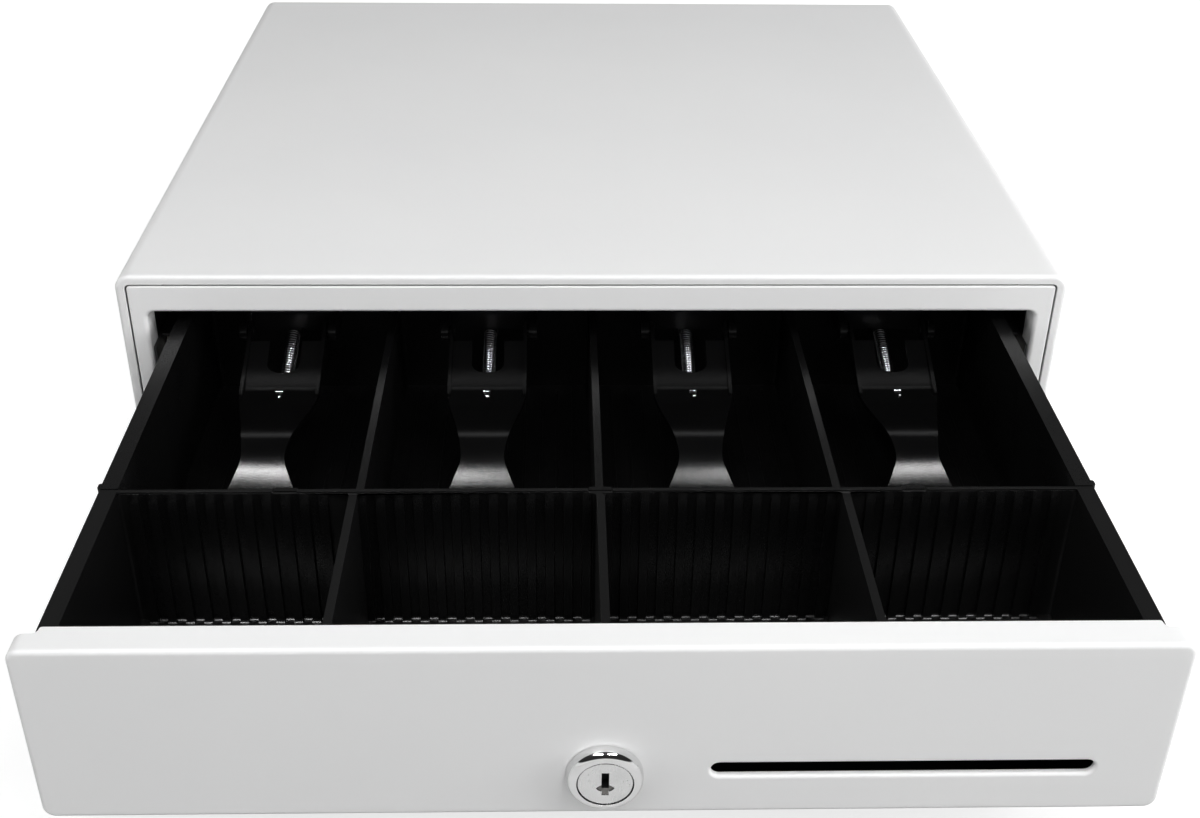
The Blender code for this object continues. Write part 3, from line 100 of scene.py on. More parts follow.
# Drawer front
PANEL_CORNER = 0.0045
TOP_FLANGE = 0.0125
SIDE_FLANGE = 0.0094
FLANGE_END = 0.0084
NOTCH_RADIUS = 0.0020           # where the top flange ends
LOCK_HOLE = 0.009
SLOT_X = 0.0998
SLOT_RISE = 0.01955
SLOT_LENGTH = 0.129
SLOT_HEIGHT = 0.0059
SLOT_LIP = 0.0012               # radius of its rolled edge
SLOT_LIP_DEPTH = 0.0024
SLOT_LIP_WALL = 0.00085

# Drawer pan
PAN_SHEET = 0.001
PAN_BENDS = (0.0018, 0.0008)    # outer and inner
PAN_FRONT = 0.0637              # heights of its front and rear walls
PAN_REAR = 0.0477
CAM_PLAY = 0.0025

# Trays
TRAY_WALL = 0.002
RIM_WIDTH = 0.0065
RIM_THICKNESS = 0.002
TRAY_DEPTH = 0.0544
COIN_DEPTH = 0.0596
DIVIDER = 0.003
INNER_EXTRA = 0.003             # the two inner compartments are wider by this
NOTE_DIVIDER_DROP = 0.0102
COIN_DIVIDER_DROP = 0.0008
COIN_WALL = 0.0016
SCOOP_LENGTH = 0.0534
HOOK_LENGTH = 0.003
HOOK_WIDTH = 0.0015
POCKET_CORNER = 0.0020          # foot of the note compartments' walls, and of the coin compartments'
POCKET_FOOT = 0.0015
TRAY_EDGE = 0.0006
NUB_LENGTH = 0.0032
NUB_PROUD = 0.0011
RIB_COUNTS = (11, 13, 13, 11)
RIB_SHIFTS = (-0.0019, -0.0011, -0.0012, 0.0002)    # each row of ribs, from its compartment's middle
RIB_PITCH = 0.00686
RIB_WIDTH = 0.0032
RIB_DEPTH = 0.0017
RIB_SIDE = 0.0003
RIB_TAPER = 0.0105              # from the wall's top to a rib's full depth
RIB_FOOT = 0.0016               # radius of the ribbed wall's foot
RIB_SINK = 0.00015              # the ribbed wall is let into the tray by this
RIB_WALL = 0.0006
RIB_TOP = 0.0010                # its top below the coin tray's
FLOOR_RIB_PITCH = 0.0072
FLOOR_RIB_HEIGHT = 0.0008
FLOOR_RIB_END = 0.006
LUG_PLACES = (-0.1150, 0.0, 0.1155)                 # on the note tray, each in a notch of the coin tray
LUG_WIDTH = 0.009
LUG_DROP = 0.0012
LUG_PLAY = 0.0003

# Note clips. Side views are (y, z) from the hinge, and the plan is (half width, y).
CLIP_SHIFT = 0.0018             # left of the middle of its pitch
CLIP_HINGE_AHEAD = 0.0195       # of the note tray's rear wall
CLIP_HINGE_DROP = 0.0139        # below its rim
CLIP_WIDTH = 0.0344
CLIP_THICKNESS = 0.002
CLIP_FLANGE = 0.0015
CLIP_EAR = 0.0044
CLIP_SLOT = 0.0142
CLIP_SLOT_END = -0.0247
CLIP_SLOT_ROUND = 0.0045
CLIP_PIN = 0.0023
CLIP_LINE = [(-0.0082, -0.0015), (-0.0190, -0.0064), (-0.0290, -0.0109), (-0.0320, -0.0122),
             (-0.0347, -0.0128), (-0.0420, -0.0135), (-0.0550, -0.0131), (-0.0684, -0.0122),
             (-0.0760, -0.0136), (-0.0825, -0.0170), (-0.0894, -0.0233), (-0.0960, -0.0315),
             (-0.1010, -0.0366), (-0.1050, -0.0382)]
CLIP_PLAN = [(0.0172, -0.0350), (0.0155, -0.0455), (0.0131, -0.0560), (0.0107, -0.0684),
             (0.0091, -0.0780), (0.0091, -0.0828), (0.0106, -0.0863), (0.0123, -0.0894),
             (0.0148, -0.0932), (0.0168, -0.0975), (0.0156, -0.1050)]
CLIP_FLANGE_TIP = [(-0.0370, -0.0112), (-0.0350, -0.0142)]
SPRING_FRONT = (-0.0260, -0.0178)
SPRING_REAR = (0.0120, -0.0077)
SPRING_RADIUS = 0.0031
SPRING_WIRE = 0.00078
SPRING_PITCH = 0.00148
SPRING_TAB = (-0.0292, -0.0205, -0.0105)        # front, bottom and root of the tab that it pulls on
SPRING_TAB_WIDTH = 0.006
HOOK_WIRE = 0.0009
HOOK_HALF = 0.0015
HOOK_PLACE = (-0.0344, -0.0115)
HOOK_LEG = 0.0012
HOOK_TIP = (-0.0376, -0.0121)
HOOK_TIP_ENDS = (-0.0002, 0.0011)

# Lock
BEZEL_RADIUS = 0.0129
BEZEL_PROUD = 0.005
BEZEL_ROUND = 0.0031
BEZEL_SEAT = 0.0003             # its rear edge, in front of the panel
BARREL_RADIUS = 0.0087
BARREL_BORE = 0.0063
LOCK_EDGE = 0.0004
RECESS_DEPTH = 0.0030
FACE_RADIUS = 0.0093
FACE_SET = 0.0001               # behind the bezel's rim
FACE_PLAY = 0.0003
FACE_EDGE = 0.0006
FACE_BACK = 0.0027
PLUG_RADIUS = 0.0060
TAIL_RADIUS = 0.0035
TAIL_LENGTH = 0.004
TAIL_EDGE = 0.0003
KEYWAY = (0.00127, -0.0021, 0.0050)             # half width, and its ends from the lock's centre
KEYWAY_DEPTH = 0.0045
# The keyway's black lining is painted shade: it darkens the keyhole.
SHADE_LINING_OUTER, SHADE_LINING_INNER = 0.00005, 0.00015       # faces of the black lining, inside the keyway's
KEYWAY_FOOT = (0.0012, -0.0050, -0.0013)        # as for the keyway
DIP = (0.0031, 0.0017)                          # half width and half height
DIP_DROP = 0.0019
DIP_DEPTH = 0.0009

# Rear and inside
SOCKET_WALL = 0.002
SOCKET_CONTACTS = 6
CONTACT_PITCH = 0.00102
SWITCH_SEAM = 0.00015           # half its width
SWITCH_SEAM_DEPTH = 0.0004
SWITCH_HOLE = 0.0013
SWITCH_HOLE_REACH = 0.006
EJECTOR_WIRE = 0.0014
EJECTOR_TURNS = 9.5

# Studio
FLOOR_REACH = 12.0
FLOOR_DROP = 0.0001
AMBIENT = 0.28
MIRRORED_FRONT = ((0.20, 0.85), (0.28, 0.025), (0.90, 0.025), (1.00, 0.05))     # (share of the way up, tone)
MIRRORED_REAR = ((0.36, 0.15), (0.44, 0.19), (0.60, 0.19), (0.68, 0.04))
LAMP_AIM = (0, -0.12, 0.08)

TINY = 1e-7
HALF = cover_high.x
FRONT_Y, REAR_Y = cover_low.y, cover_high.y
BASE_Z, TOP_Z = cover_low.z, cover_high.z
OPENING_HALF = fascia_high.x - FASCIA_SIDE
OPENING_TOP = fascia_high.z - FASCIA_TOP
OPENING_BOTTOM = BASE_Z + FASCIA_SILL
PANEL_Y = panel_low.y
RIM_HALF, RIM_TOP = note_high.x, note_high.z
POCKET_HALF = RIM_HALF - RIM_WIDTH
TRAY_HALF = POCKET_HALF + TRAY_WALL
TRAY_FLOOR = RIM_TOP - TRAY_DEPTH
COIN_FLOOR = RIM_TOP - COIN_DEPTH
DIVIDER_PITCH = (2 * POCKET_HALF + DIVIDER + 2 * INNER_EXTRA) / 4
COIN_FRONT, COIN_REAR = coin_low.y + HOOK_LENGTH, coin_high.y
CLIP_Y = note_high.y - TRAY_WALL - CLIP_HINGE_AHEAD
CLIP_Z = RIM_TOP - CLIP_HINGE_DROP
LOCK_Z = (plug_low.z + plug_high.z) / 2
SLOT_Z = panel_low.z + SLOT_RISE
SIDES = {"left": -1, "right": 1}
CLIPS = {number: (number - 2.5) * DIVIDER_PITCH - CLIP_SHIFT for number in (1, 2, 3, 4)}


# Nodes

class Value:
    """A node's output. Arithmetic on it adds Math nodes."""

    def __init__(self, tree, socket):
        self.tree, self.socket = tree, socket

    def maths(self, operation, *numbers):
        return self.tree.node("ShaderNodeMath", {"operation": operation}, dict(enumerate(numbers or (self,))))

    def __add__(self, other):
        return self.maths("ADD", self, other)

    def __radd__(self, other):
        return self.maths("ADD", other, self)

    def __sub__(self, other):
        return self.maths("SUBTRACT", self, other)

    def __rsub__(self, other):
        return self.maths("SUBTRACT", other, self)

    def __mul__(self, other):
        return self.maths("MULTIPLY", self, other)

    def __rmul__(self, other):
        return self.maths("MULTIPLY", other, self)

    def __truediv__(self, other):
        return self.maths("DIVIDE", self, other)

    def __mod__(self, other):
        return self.maths("FLOORED_MODULO", self, other)

    def __gt__(self, other):
        return self.maths("GREATER_THAN", self, other)

    def __lt__(self, other):
        return self.maths("LESS_THAN", self, other)

    def clamped(self):
        return self.tree.node("ShaderNodeClamp", {}, {"Value": self})


class Tree:
    """Nodes under construction."""

    def __init__(self, nodes):
        self.nodes = nodes

    def node(self, kind, settings=None, inputs=None, output=0):
        """Adds a node. Its settings come first, then the values or links of its sockets. A socket that takes
        several links has a list of them."""
        made = self.nodes.nodes.new(kind)
        for name, value in (settings or {}).items():
            if name == "stops":
                ramp = made.color_ramp.elements
                while len(ramp) < len(value):
                    ramp.new(0.5)
                for element, (place, shade) in zip(ramp, value):
                    element.position, element.color = place, (shade, shade, shade, 1)
            else:
                setattr(made, name, value)
        for key, value in (inputs or {}).items():
            for part in value if isinstance(value, list) else [value]:
                if isinstance(part, Value):
                    self.nodes.links.new(part.socket, made.inputs[key])
                else:
                    made.inputs[key].default_value = part
        return Value(self, made.outputs[output])

    def mix(self, factor, *shades):
        """One of two colours, or a blend of them. Each is a value, or the same everywhere."""
        first, second = (shade if isinstance(shade, Value) else (*shade, 1) for shade in shades)
        return self.node("ShaderNodeMix", {"data_type": "RGBA"}, {0: factor, 6: first, 7: second}, 2)

    def part(self, vector, axis):
        return self.node("ShaderNodeSeparateXYZ", {}, {"Vector": vector}, axis)

    def rays(self, *names):
        """1 for the named kinds of ray and 0 for the rest."""
        return sum(self.node("ShaderNodeLightPath", output=name) for name in names).clamped()


class Finish(Tree):
    """A material. Its patterns lie on the object's own coordinates."""

    def __init__(self, name, slot, **constants):
        self.material = bpy.data.materials.new(name)
        self.material.use_nodes = True
        self.slot = slot
        super().__init__(self.material.node_tree)
        self.shader = self.nodes.nodes["Principled BSDF"]
        for label, value in constants.items():
            self.shader.inputs[label.replace("_", " ")].default_value = value
        self.place = self.node("ShaderNodeTexCoord", output="Object")

    def noise(self, scale, detail=2.0, stretch=(1, 1, 1)):
        """Cloudy grey, with scale cycles a metre. stretch draws it out along an axis."""
        where = self.node("ShaderNodeMapping", {}, {"Vector": self.place, "Scale": stretch})
        return self.node("ShaderNodeTexNoise", {}, {"Vector": where, "Scale": scale, "Detail": detail})

    def feed(self, label, value):
        self.nodes.links.new(value.socket, self.shader.inputs[label])

    def bump(self, height, distance, strength=1.0):
        """Raises the surface by up to distance where height is 1."""
        self.feed("Normal", self.node("ShaderNodeBump", {}, {"Height": height, "Distance": distance,
                                                             "Strength": strength}))


class Pattern(Tree):
    """A geometry tree with named sizes."""

    def __init__(self, name, sizes):
        super().__init__(bpy.data.node_groups.new(name, "GeometryNodeTree"))
        kinds = {int: "NodeSocketInt", float: "NodeSocketFloat"}
        self.nodes.interface.new_socket("Geometry", in_out="OUTPUT", socket_type="NodeSocketGeometry")
        for label, value in sizes.items():
            socket = self.nodes.interface.new_socket(label, in_out="INPUT", socket_type=kinds[type(value)])
            socket.default_value = value
        self.entry = self.nodes.nodes.new("NodeGroupInput")

    def size(self, label):
        return Value(self, self.entry.outputs[label])

    def vector(self, x=0.0, y=0.0, z=0.0):
        return self.node("ShaderNodeCombineXYZ", {}, {"X": x, "Y": y, "Z": z})

    def end(self, geometry, finish):
        whole = self.node("GeometryNodeRealizeInstances", {}, {"Geometry": geometry})
        painted = self.node("GeometryNodeSetMaterial", {}, {"Geometry": whole, "Material": finish.material})
        self.nodes.links.new(painted.socket, self.nodes.nodes.new("NodeGroupOutput").inputs[0])

    def grown(self, sizes):
        """The pattern at these sizes, as a plain mesh."""
        holder = placed("holder", bpy.data.meshes.new("holder"))
        modifier = holder.modifiers.new("pattern", "NODES")
        modifier.node_group = self.nodes
        inputs = [item for item in self.nodes.interface.items_tree if item.in_out == "INPUT"]
        for item in inputs:
            if item.name in sizes:
                modifier[item.identifier] = sizes[item.name]
        return final_mesh(holder)


# Meshes

def placed(name, mesh):
    made = bpy.data.objects.new(name, mesh)
    bpy.context.scene.collection.objects.link(made)
    return made


def final_mesh(holder, *helpers):
    """The evaluated mesh of a temporary object, which is then thrown away."""
    graph = bpy.context.evaluated_depsgraph_get()
    mesh = bpy.data.meshes.new_from_object(holder.evaluated_get(graph), depsgraph=graph)
    holder.modifiers.clear()
    for obj in (holder, *helpers):
        bpy.data.objects.remove(obj)
    return mesh


def modified(mesh, *steps):
    """A mesh after modifiers, each a type and its settings."""
    holder = placed("holder", mesh)
    for kind, settings in steps:
        modifier = holder.modifiers.new(kind.lower(), kind)
        for name, value in settings.items():
            setattr(modifier, name, value)
    return final_mesh(holder)


def carved(mesh, joined=(), cut=(), common=()):
    """A solid, less what lies outside common, with others joined to it and then others cut from it."""
    holder = placed("holder", mesh)
    helpers = []
    for operation, others in (("INTERSECT", common), ("UNION", joined), ("DIFFERENCE", cut)):
        for other in others:
            helper = placed("helper", other)
            helpers.append(helper)
            modifier = holder.modifiers.new("cut", "BOOLEAN")
            modifier.operation, modifier.solver, modifier.object = operation, "EXACT", helper
    return final_mesh(holder, *helpers)


def eased(mesh, width, segments=2, angle=40):
    """Rounds sharp edges and keeps flat faces flat."""
    mesh.shade_smooth()
    return modified(mesh, ("BEVEL", {"width": width, "segments": segments, "limit_method": "ANGLE",
                                     "angle_limit": math.radians(angle), "use_clamp_overlap": True}),
                    ("WEIGHTED_NORMAL", {"keep_sharp": False, "weight": 50}))


def plain(shape, name="mesh"):
    mesh = bpy.data.meshes.new(name)
    shape.to_mesh(mesh)
    shape.free()
    return mesh


def mesh_of(shape):
    """A closed mesh, its doubles merged and its faces turned outwards."""
    bmesh.ops.remove_doubles(shape, verts=shape.verts, dist=TINY)
    bmesh.ops.recalc_face_normals(shape, faces=shape.faces)
    return plain(shape)


def together(meshes):
    shape = bmesh.new()
    for mesh in meshes:
        shape.from_mesh(mesh)
    return plain(shape)


def smooth(mesh, angle=38):
    mesh.shade_smooth()
    mesh.set_sharp_from_angle(angle=math.radians(angle))
    return mesh


def block(low, high, radius=0.0, chosen=lambda start, end: True, steps=4):
    """A box, with the chosen edges rounded."""
    low, high = Vector(low), Vector(high)
    shape = bmesh.new()
    size = Matrix.Diagonal((*(high - low), 1))
    bmesh.ops.create_cube(shape, size=1, matrix=Matrix.Translation((low + high) / 2) @ size)
    if radius:
        edges = [edge for edge in shape.edges if chosen(*(corner.co for corner in edge.verts))]
        bmesh.ops.bevel(shape, geom=edges, offset=radius, segments=steps, profile=0.5, affect="EDGES")
    return mesh_of(shape)


def along(axis, across, up, far):
    """A point from its place along an axis and its two places across it."""
    return {"X": (far, across, up), "Y": (across, far, up), "Z": (across, up, far)}[axis]


def prism(outline, axis, low, high):
    """A flat outline drawn out along an axis: outlines are (y, z) for X, (x, z) for Y and (x, y) for Z."""
    shape = bmesh.new()
    near, far = ([shape.verts.new(along(axis, *pair, place)) for pair in outline] for place in (low, high))
    shape.faces.new(near)
    shape.faces.new(far[::-1])
    for i in range(len(outline)):
        j = (i + 1) % len(outline)
        shape.faces.new((near[i], near[j], far[j], far[i]))
    return mesh_of(shape)


def arc(centre, radius, start, end, steps):
    """Points along an arc between two angles in degrees, both ends included."""
    radii = radius if isinstance(radius, tuple) else (radius, radius)
    turns = [math.radians(start + (end - start) * step / steps) for step in range(steps + 1)]
    return [(centre[0] + radii[0] * math.cos(turn), centre[1] + radii[1] * math.sin(turn)) for turn in turns]


def rod(radius, axis, centre, low, high, steps=48):
    return prism(arc(centre, radius, 0, 360, steps)[:-1], axis, low, high)


def skin(shape, rows, ring_rows=False, ring_columns=False):
    """Covers rows of points with faces, and returns the rows of corners."""
    corners = [[shape.verts.new(point) for point in row] for row in rows]
    pairs = list(zip(corners, corners[1:])) + ([(corners[-1], corners[0])] if ring_rows else [])
    for near, far in pairs:
        count = len(near)
        for i in range(count if ring_columns else count - 1):
            j = (i + 1) % count
            shape.faces.new((near[i], near[j], far[j], far[i]))
    return corners


def fill(shape, *loops):
    """Fills the flat area between an outer loop of corners and the loops inside it."""
    edges = []
    for loop in loops:
        for i, corner in enumerate(loop):
            pair = (corner, loop[(i + 1) % len(loop)])
            edges.append(shape.edges.get(pair) or shape.edges.new(pair))
    bmesh.ops.triangle_fill(shape, edges=edges, use_beauty=True)


def turned(profile, centre, axis, steps=96):
    """A turned piece. The profile's (radius, place along the axis) points are listed from end to end."""
    shape = bmesh.new()

    def corner(pair, far):
        return shape.verts.new(Vector(centre) + Vector(along(axis, *pair, far)))
    rings = [[corner((0, 0), far)] * steps if radius < TINY else
             [corner(pair, far) for pair in arc((0, 0), radius, 0, 360, steps)[:-1]]
             for radius, far in profile]
    closing = [(rings[-1], rings[0])] if profile[0][0] > TINY else []
    for near, far in [*zip(rings, rings[1:]), *closing]:
        for i in range(steps):
            j = (i + 1) % steps
            shape.faces.new(dict.fromkeys((near[i], near[j], far[j], far[i])))
    return smooth(mesh_of(shape))


def smooth_line(points, steps):
    """A Catmull-Rom curve through points."""
    line = []
    ends = [points[0], *points, points[-1]]
    for four in zip(ends, ends[1:], ends[2:], ends[3:]):
        for step in range(steps):
            t = step / steps
            weights = (-t + 2 * t ** 2 - t ** 3, 2 - 5 * t ** 2 + 3 * t ** 3,
                       t + 4 * t ** 2 - 3 * t ** 3, t ** 3 - t ** 2)
            line.append(tuple(sum(weight * point[i] for weight, point in zip(weights, four)) / 2
                              for i in range(2)))
    return [*line, points[-1]]


def strip_outline(line, thickness):
    """The outline of a strip of even thickness about a line."""
    sides = ([], [])
    for before, point, after in zip([line[0], *line], line, [*line[1:], line[-1]]):
        run, rise = after[0] - before[0], after[1] - before[1]
        length = math.hypot(run, rise)
        for side, sign in zip(sides, (1, -1)):
            offset = sign * thickness / 2 / length
            side.append((point[0] - rise * offset, point[1] + run * offset))
    return sides[0] + sides[1][::-1]


def both_sides(inner, outer, low, high, *rounding):
    """A block on each side, from one x to another and between two (y, z) corners."""
    return [block((min(sign * inner, sign * outer), *low),
                  (max(sign * inner, sign * outer), *high), *rounding) for sign in SIDES.values()]


def moved(mesh, offset):
    mesh.transform(Matrix.Translation(offset))
    return mesh


def show(name, mesh, finish, body, *nodes):
    """Puts a piece on its body, in its finish and in place of the nodes that it refines."""
    made = placed(name, mesh)
    mesh.name = name
    mesh.materials.clear()
    mesh.materials.append(finish.material)
    for face in mesh.polygons:
        face.material_index = 0
    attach(made, body)
    if nodes:
        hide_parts(*nodes)
    return made


def body_of(node):
    return next(body for body, nodes in frame["record"]["behaviour"]["bodies"].items() if node in nodes)


def refine(node, finish, width=0.0003, segments=2):
    """Stands a copy of a node with softened edges in its place."""
    shape = bmesh.new()
    shape.from_mesh(frame["nodes"][node].data)
    bmesh.ops.remove_doubles(shape, verts=shape.verts, dist=1e-6)
    bmesh.ops.dissolve_limit(shape, angle_limit=math.radians(1), verts=shape.verts, edges=shape.edges)
    return show(f"{node}_piece", eased(plain(shape), width, segments), finish, body_of(node), node)


# Finishes

def surface(name, slot, shades, cloud, grain, rough, bump, **constants):
    """A finish that drifts between two shades, over a fine grain. rough is its least roughness, then what the
    cloud of shades and the grain add."""
    made = Finish(name, slot, **constants)
    clouds, grains = made.noise(*cloud), made.noise(*grain)
    made.feed("Base Color", made.mix(clouds, *shades))
    made.feed("Roughness", rough[0] + rough[1] * clouds + rough[2] * grains)
    made.bump(grains, *bump)
    return made


def powder_coat():
    """White powder coat: a fine orange peel under an even satin film."""
    coat = Finish("white_powder_coat", "white_painted_steel", Specular_IOR_Level=0.4)
    cloud = coat.noise(9, 3)
    coat.feed("Base Color", coat.mix(cloud, (0.780, 0.782, 0.786), (0.822, 0.822, 0.822)))
    peel = coat.noise(1100, 2)
    grit = coat.noise(4200, 1)
    coat.feed("Roughness", 0.40 + 0.08 * coat.noise(45, 3) + 0.05 * grit)
    coat.bump(peel * 0.75 + grit * 0.25, 0.00004, 0.35)
    return coat


def black_paint():
    """Satin black paint on the runners and the drawer pan."""
    coat = Finish("black_satin_paint", "black_painted_steel", Specular_IOR_Level=0.3)
    cloud = coat.noise(14, 3)
    coat.feed("Base Color", coat.mix(cloud, (0.009, 0.009, 0.010), (0.014, 0.014, 0.014)))
    coat.feed("Roughness", 0.36 + 0.14 * coat.noise(60, 3))
    coat.bump(coat.noise(1500, 2), 0.00003, 0.4)
    return coat


def moulded_black(name, roughness, grain_depth, specular):
    """Black plastic with the mould's spark-eroded grain."""
    return surface(name, "black_plastic", ((0.0016, 0.0016, 0.0017), (0.0030, 0.0030, 0.0031)), (30, 3),
                   (2600, 1), (roughness, 0.08, 0.10), (grain_depth, 0.6), Specular_IOR_Level=specular)


def chrome_plate(name, shade, roughness, brushing):
    """Chrome plate, polished or with the marks of facing."""
    return surface(name, "lock_chrome", ([0.94 * shade] * 3, [1.06 * shade] * 3), (160, 2),
                   (2200, 3, (1, 1, 0.12)), (roughness, 0, brushing), (0.00001, 0.15 + brushing),
                   Metallic=1.0)


def winding_tape():
    """Amber tape wound round the coil, with its overlaps."""
    tape = Finish("winding_tape", "coil_tape")
    lap = tape.part(tape.place, "X") * 190 % 1
    cloud = tape.noise(60, 3)
    tape.feed("Base Color", tape.mix(lap * 0.6 + cloud * 0.4, (0.42, 0.25, 0.03), (0.66, 0.46, 0.08)))
    tape.feed("Roughness", 0.28 + 0.2 * cloud)
    tape.bump(lap, 0.00006, 0.8)
    return tape


WHITE = powder_coat()
BLACK_PAINT = black_paint()
TRAY_BLACK = moulded_black("tray_black", 0.20, 0.00002, 0.36)
COIN_TRAY_BLACK = moulded_black("coin_tray_black", 0.34, 0.00003, 0.38)
CLIP_BLACK = moulded_black("clip_black", 0.08, 0.00006, 0.30)
# Bright zinc over cold-rolled sheet: rolling lines and a faint iridescent cloud
ZINC = surface("zinc_plate", "zinc_plated_steel", ((0.50, 0.53, 0.58), (0.66, 0.65, 0.61)), (26, 4),
               (700, 3, (1, 0.03, 1)), (0.26, 0.12, 0.14), (0.00002, 0.4), Metallic=1.0)
CHROME = chrome_plate("polished_chrome", 0.78, 0.05, 0.05)
FACED_CHROME = chrome_plate("faced_chrome", 0.72, 0.16, 0.18)
WIRE = surface("drawn_spring_steel", "spring_steel", ((0.62, 0.63, 0.66), (0.80, 0.80, 0.80)), (220, 3),
               (3000, 1), (0.07, 0.08, 0), (0.00001, 0.3), Metallic=1.0)
# Dark steel for the dip below the keyhole: painted shade in that shallow recess.
DIP_SHADE_STEEL = surface("keyway_steel", "spring_steel", ((0.09, 0.09, 0.09), (0.24, 0.23, 0.22)), (900, 3),
                       (900, 3), (0.40, 0.2, 0), (0.00003, 0.4), Metallic=1.0)
NYLON = surface("natural_nylon", "nylon", ((0.68, 0.66, 0.58), (0.78, 0.77, 0.71)), (120, 3),
                (1800, 2), (0.38, 0.15, 0), (0.00002, 0.4))
RUBBER = surface("foot_rubber", "foot_rubber", ((0.012, 0.012, 0.012), (0.026, 0.025, 0.024)), (90, 3),
                 (1500, 3), (0.68, 0.2, 0), (0.00006, 0.6), Specular_IOR_Level=0.3)
TAPE = winding_tape()


# Folded sheet

def corner_loop(left, right, bottom, top, radii, steps=8, stops=()):
    """Points round a rectangle with rounded corners, from the lower left. stops are extra x places along the
    top."""
    points = []
    corners = ((left, bottom, 180), (right, bottom, 270), (right, top, 0), (left, top, 90))
    for (x, z, start), radius in zip(corners, radii):
        centre = (x + radius if x == left else x - radius, z + radius if z == bottom else z - radius)
        points += arc(centre, radius, start, start + 90, steps)
        if start == 0:
            points += [(stop, top) for stop in stops]
    return points


def cover_section():
    """The cover's side section as (y, depth below its outer form), once round the sheet."""
    depth = REAR_Y - FRONT_Y
    outer, inner = EDGE_BEND, SHEET + INNER_BEND
    front = [(SHEET, FRONT_LIP), (CUT_EDGE, FRONT_LIP), (0, FRONT_LIP - CUT_EDGE), (0, outer + HOLD),
             *arc((outer, outer), outer, 180, 270, 6), (outer + HOLD, 0)]
    rear = [(depth - outer - HOLD, 0), *arc((depth - outer, outer), outer, 270, 360, 6),
            (depth, outer + HOLD), (depth, REAR_LIP - CUT_EDGE), (depth - CUT_EDGE, REAR_LIP),
            (depth - SHEET, REAR_LIP)]
    back = [(depth - SHEET, inner + HOLD), *arc((depth - inner, inner), INNER_BEND, 0, -90, 4),
            (depth - inner - HOLD, SHEET), (inner + HOLD, SHEET),
            *arc((inner, inner), INNER_BEND, 270, 180, 4), (SHEET, inner + HOLD)]
    return front + rear + back


def cover_path(inset):
    """The cover's front outline, drawn inwards: up the left side, over the top and down the right."""
    half, top = HALF - inset, TOP_Z - inset
    radius = max(LONG_BEND - inset, LIP_CORNER)
    right = [(half - radius - HOLD, top), *arc((half - radius, top - radius), radius, 90, 0, 10),
             (half, top - radius - HOLD), (half, BASE_Z)]
    return [(-x, z) for x, z in right[::-1]] + right


def make_cover():
    shape = bmesh.new()
    rows = [[(x, FRONT_Y + y, z) for x, z in cover_path(inset)] for y, inset in cover_section()]
    corners = skin(shape, rows, ring_rows=True)
    for end in (0, -1):
        fill(shape, [row[end] for row in corners])
    mesh = smooth(mesh_of(shape))
    holes = [rod(0.0018, "Y", place, REAR_Y - 3 * SHEET, REAR_Y + SHEET, 24) for place in screw_places()]
    show("top_cover_piece", smooth(carved(mesh, cut=holes)), WHITE, "housing", "top_cover")


def screw_places():
    boxes = [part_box(f"rear_screw_{row}_{side}") for row in ("lower", "upper") for side in SIDES]
    return [((low.x + high.x) / 2, (low.z + high.z) / 2) for low, high in boxes]


def make_fascia():
    """The frame in the cover's front lip, its opening's edge folded inwards."""
    def edge(inset):
        radii = [max(radius - inset, 0.0001) for radius in (0.0006, 0.0006, FASCIA_CORNER, FASCIA_CORNER)]
        return corner_loop(fascia_low.x + inset, fascia_high.x - inset, BASE_Z + inset,
                           fascia_high.z - inset, radii)

    def opening(outset):
        return corner_loop(-OPENING_HALF - outset, OPENING_HALF + outset, OPENING_BOTTOM - outset,
                           OPENING_TOP + outset, [OPENING_CORNER + outset] * 4)

    def reach(x, z):
        """How far the return goes back: deeper at the sides than above and below."""
        centre_x = max(abs(x) - (OPENING_HALF - OPENING_CORNER), 0)
        middle = (OPENING_TOP + OPENING_BOTTOM) / 2
        centre_z = max(abs(z - middle) - ((OPENING_TOP - OPENING_BOTTOM) / 2 - OPENING_CORNER), 0)
        share = centre_x ** 2 / (centre_x ** 2 + centre_z ** 2)
        return LEDGE_RETURN + (SIDE_RETURN - LEDGE_RETURN) * share

    rows = [[(x, SHEET, z) for x, z in edge(SEAM)]]
    for across, y in arc((FASCIA_EDGE, FASCIA_EDGE), FASCIA_EDGE, 180, 270, 4):
        rows.append([(x, y, z) for x, z in edge(SEAM + across)])
    rows.append([(x, 0, z) for x, z in edge(SEAM + FASCIA_EDGE + HOLD)])
    bend = OPENING_BEND
    rows.append([(x, 0, z) for x, z in opening(bend + HOLD)])
    for outset, y in arc((bend, bend), bend, 270, 180, 6):
        rows.append([(x, y, z) for x, z in opening(outset)])
    rows.append([(x, bend + HOLD, z) for x, z in opening(0)])
    for outset, short in SHEARED:
        rows.append([(x, reach(*place) - short, z) for (x, z), place in zip(opening(outset), opening(0))])
    rows.append([(x, bend + HOLD, z) for x, z in opening(SHEET)])
    rows.append([(x, SHEET, z) for x, z in opening(bend + HOLD)])
    shape = bmesh.new()
    skin(shape, [[(x, FRONT_Y + y, z) for x, y, z in row] for row in rows], True, True)
    show("front_frame_piece", smooth(mesh_of(shape)), WHITE, "housing", "front_frame")


def slot_loop(outset, steps=10):
    """The slip slot's outline, drawn outwards."""
    radius = SLOT_HEIGHT / 2 + outset
    reach = (SLOT_LENGTH - SLOT_HEIGHT) / 2
    return arc((SLOT_X + reach, SLOT_Z), radius, -90, 90, steps) + \
        arc((SLOT_X - reach, SLOT_Z), radius, 90, 270, steps)


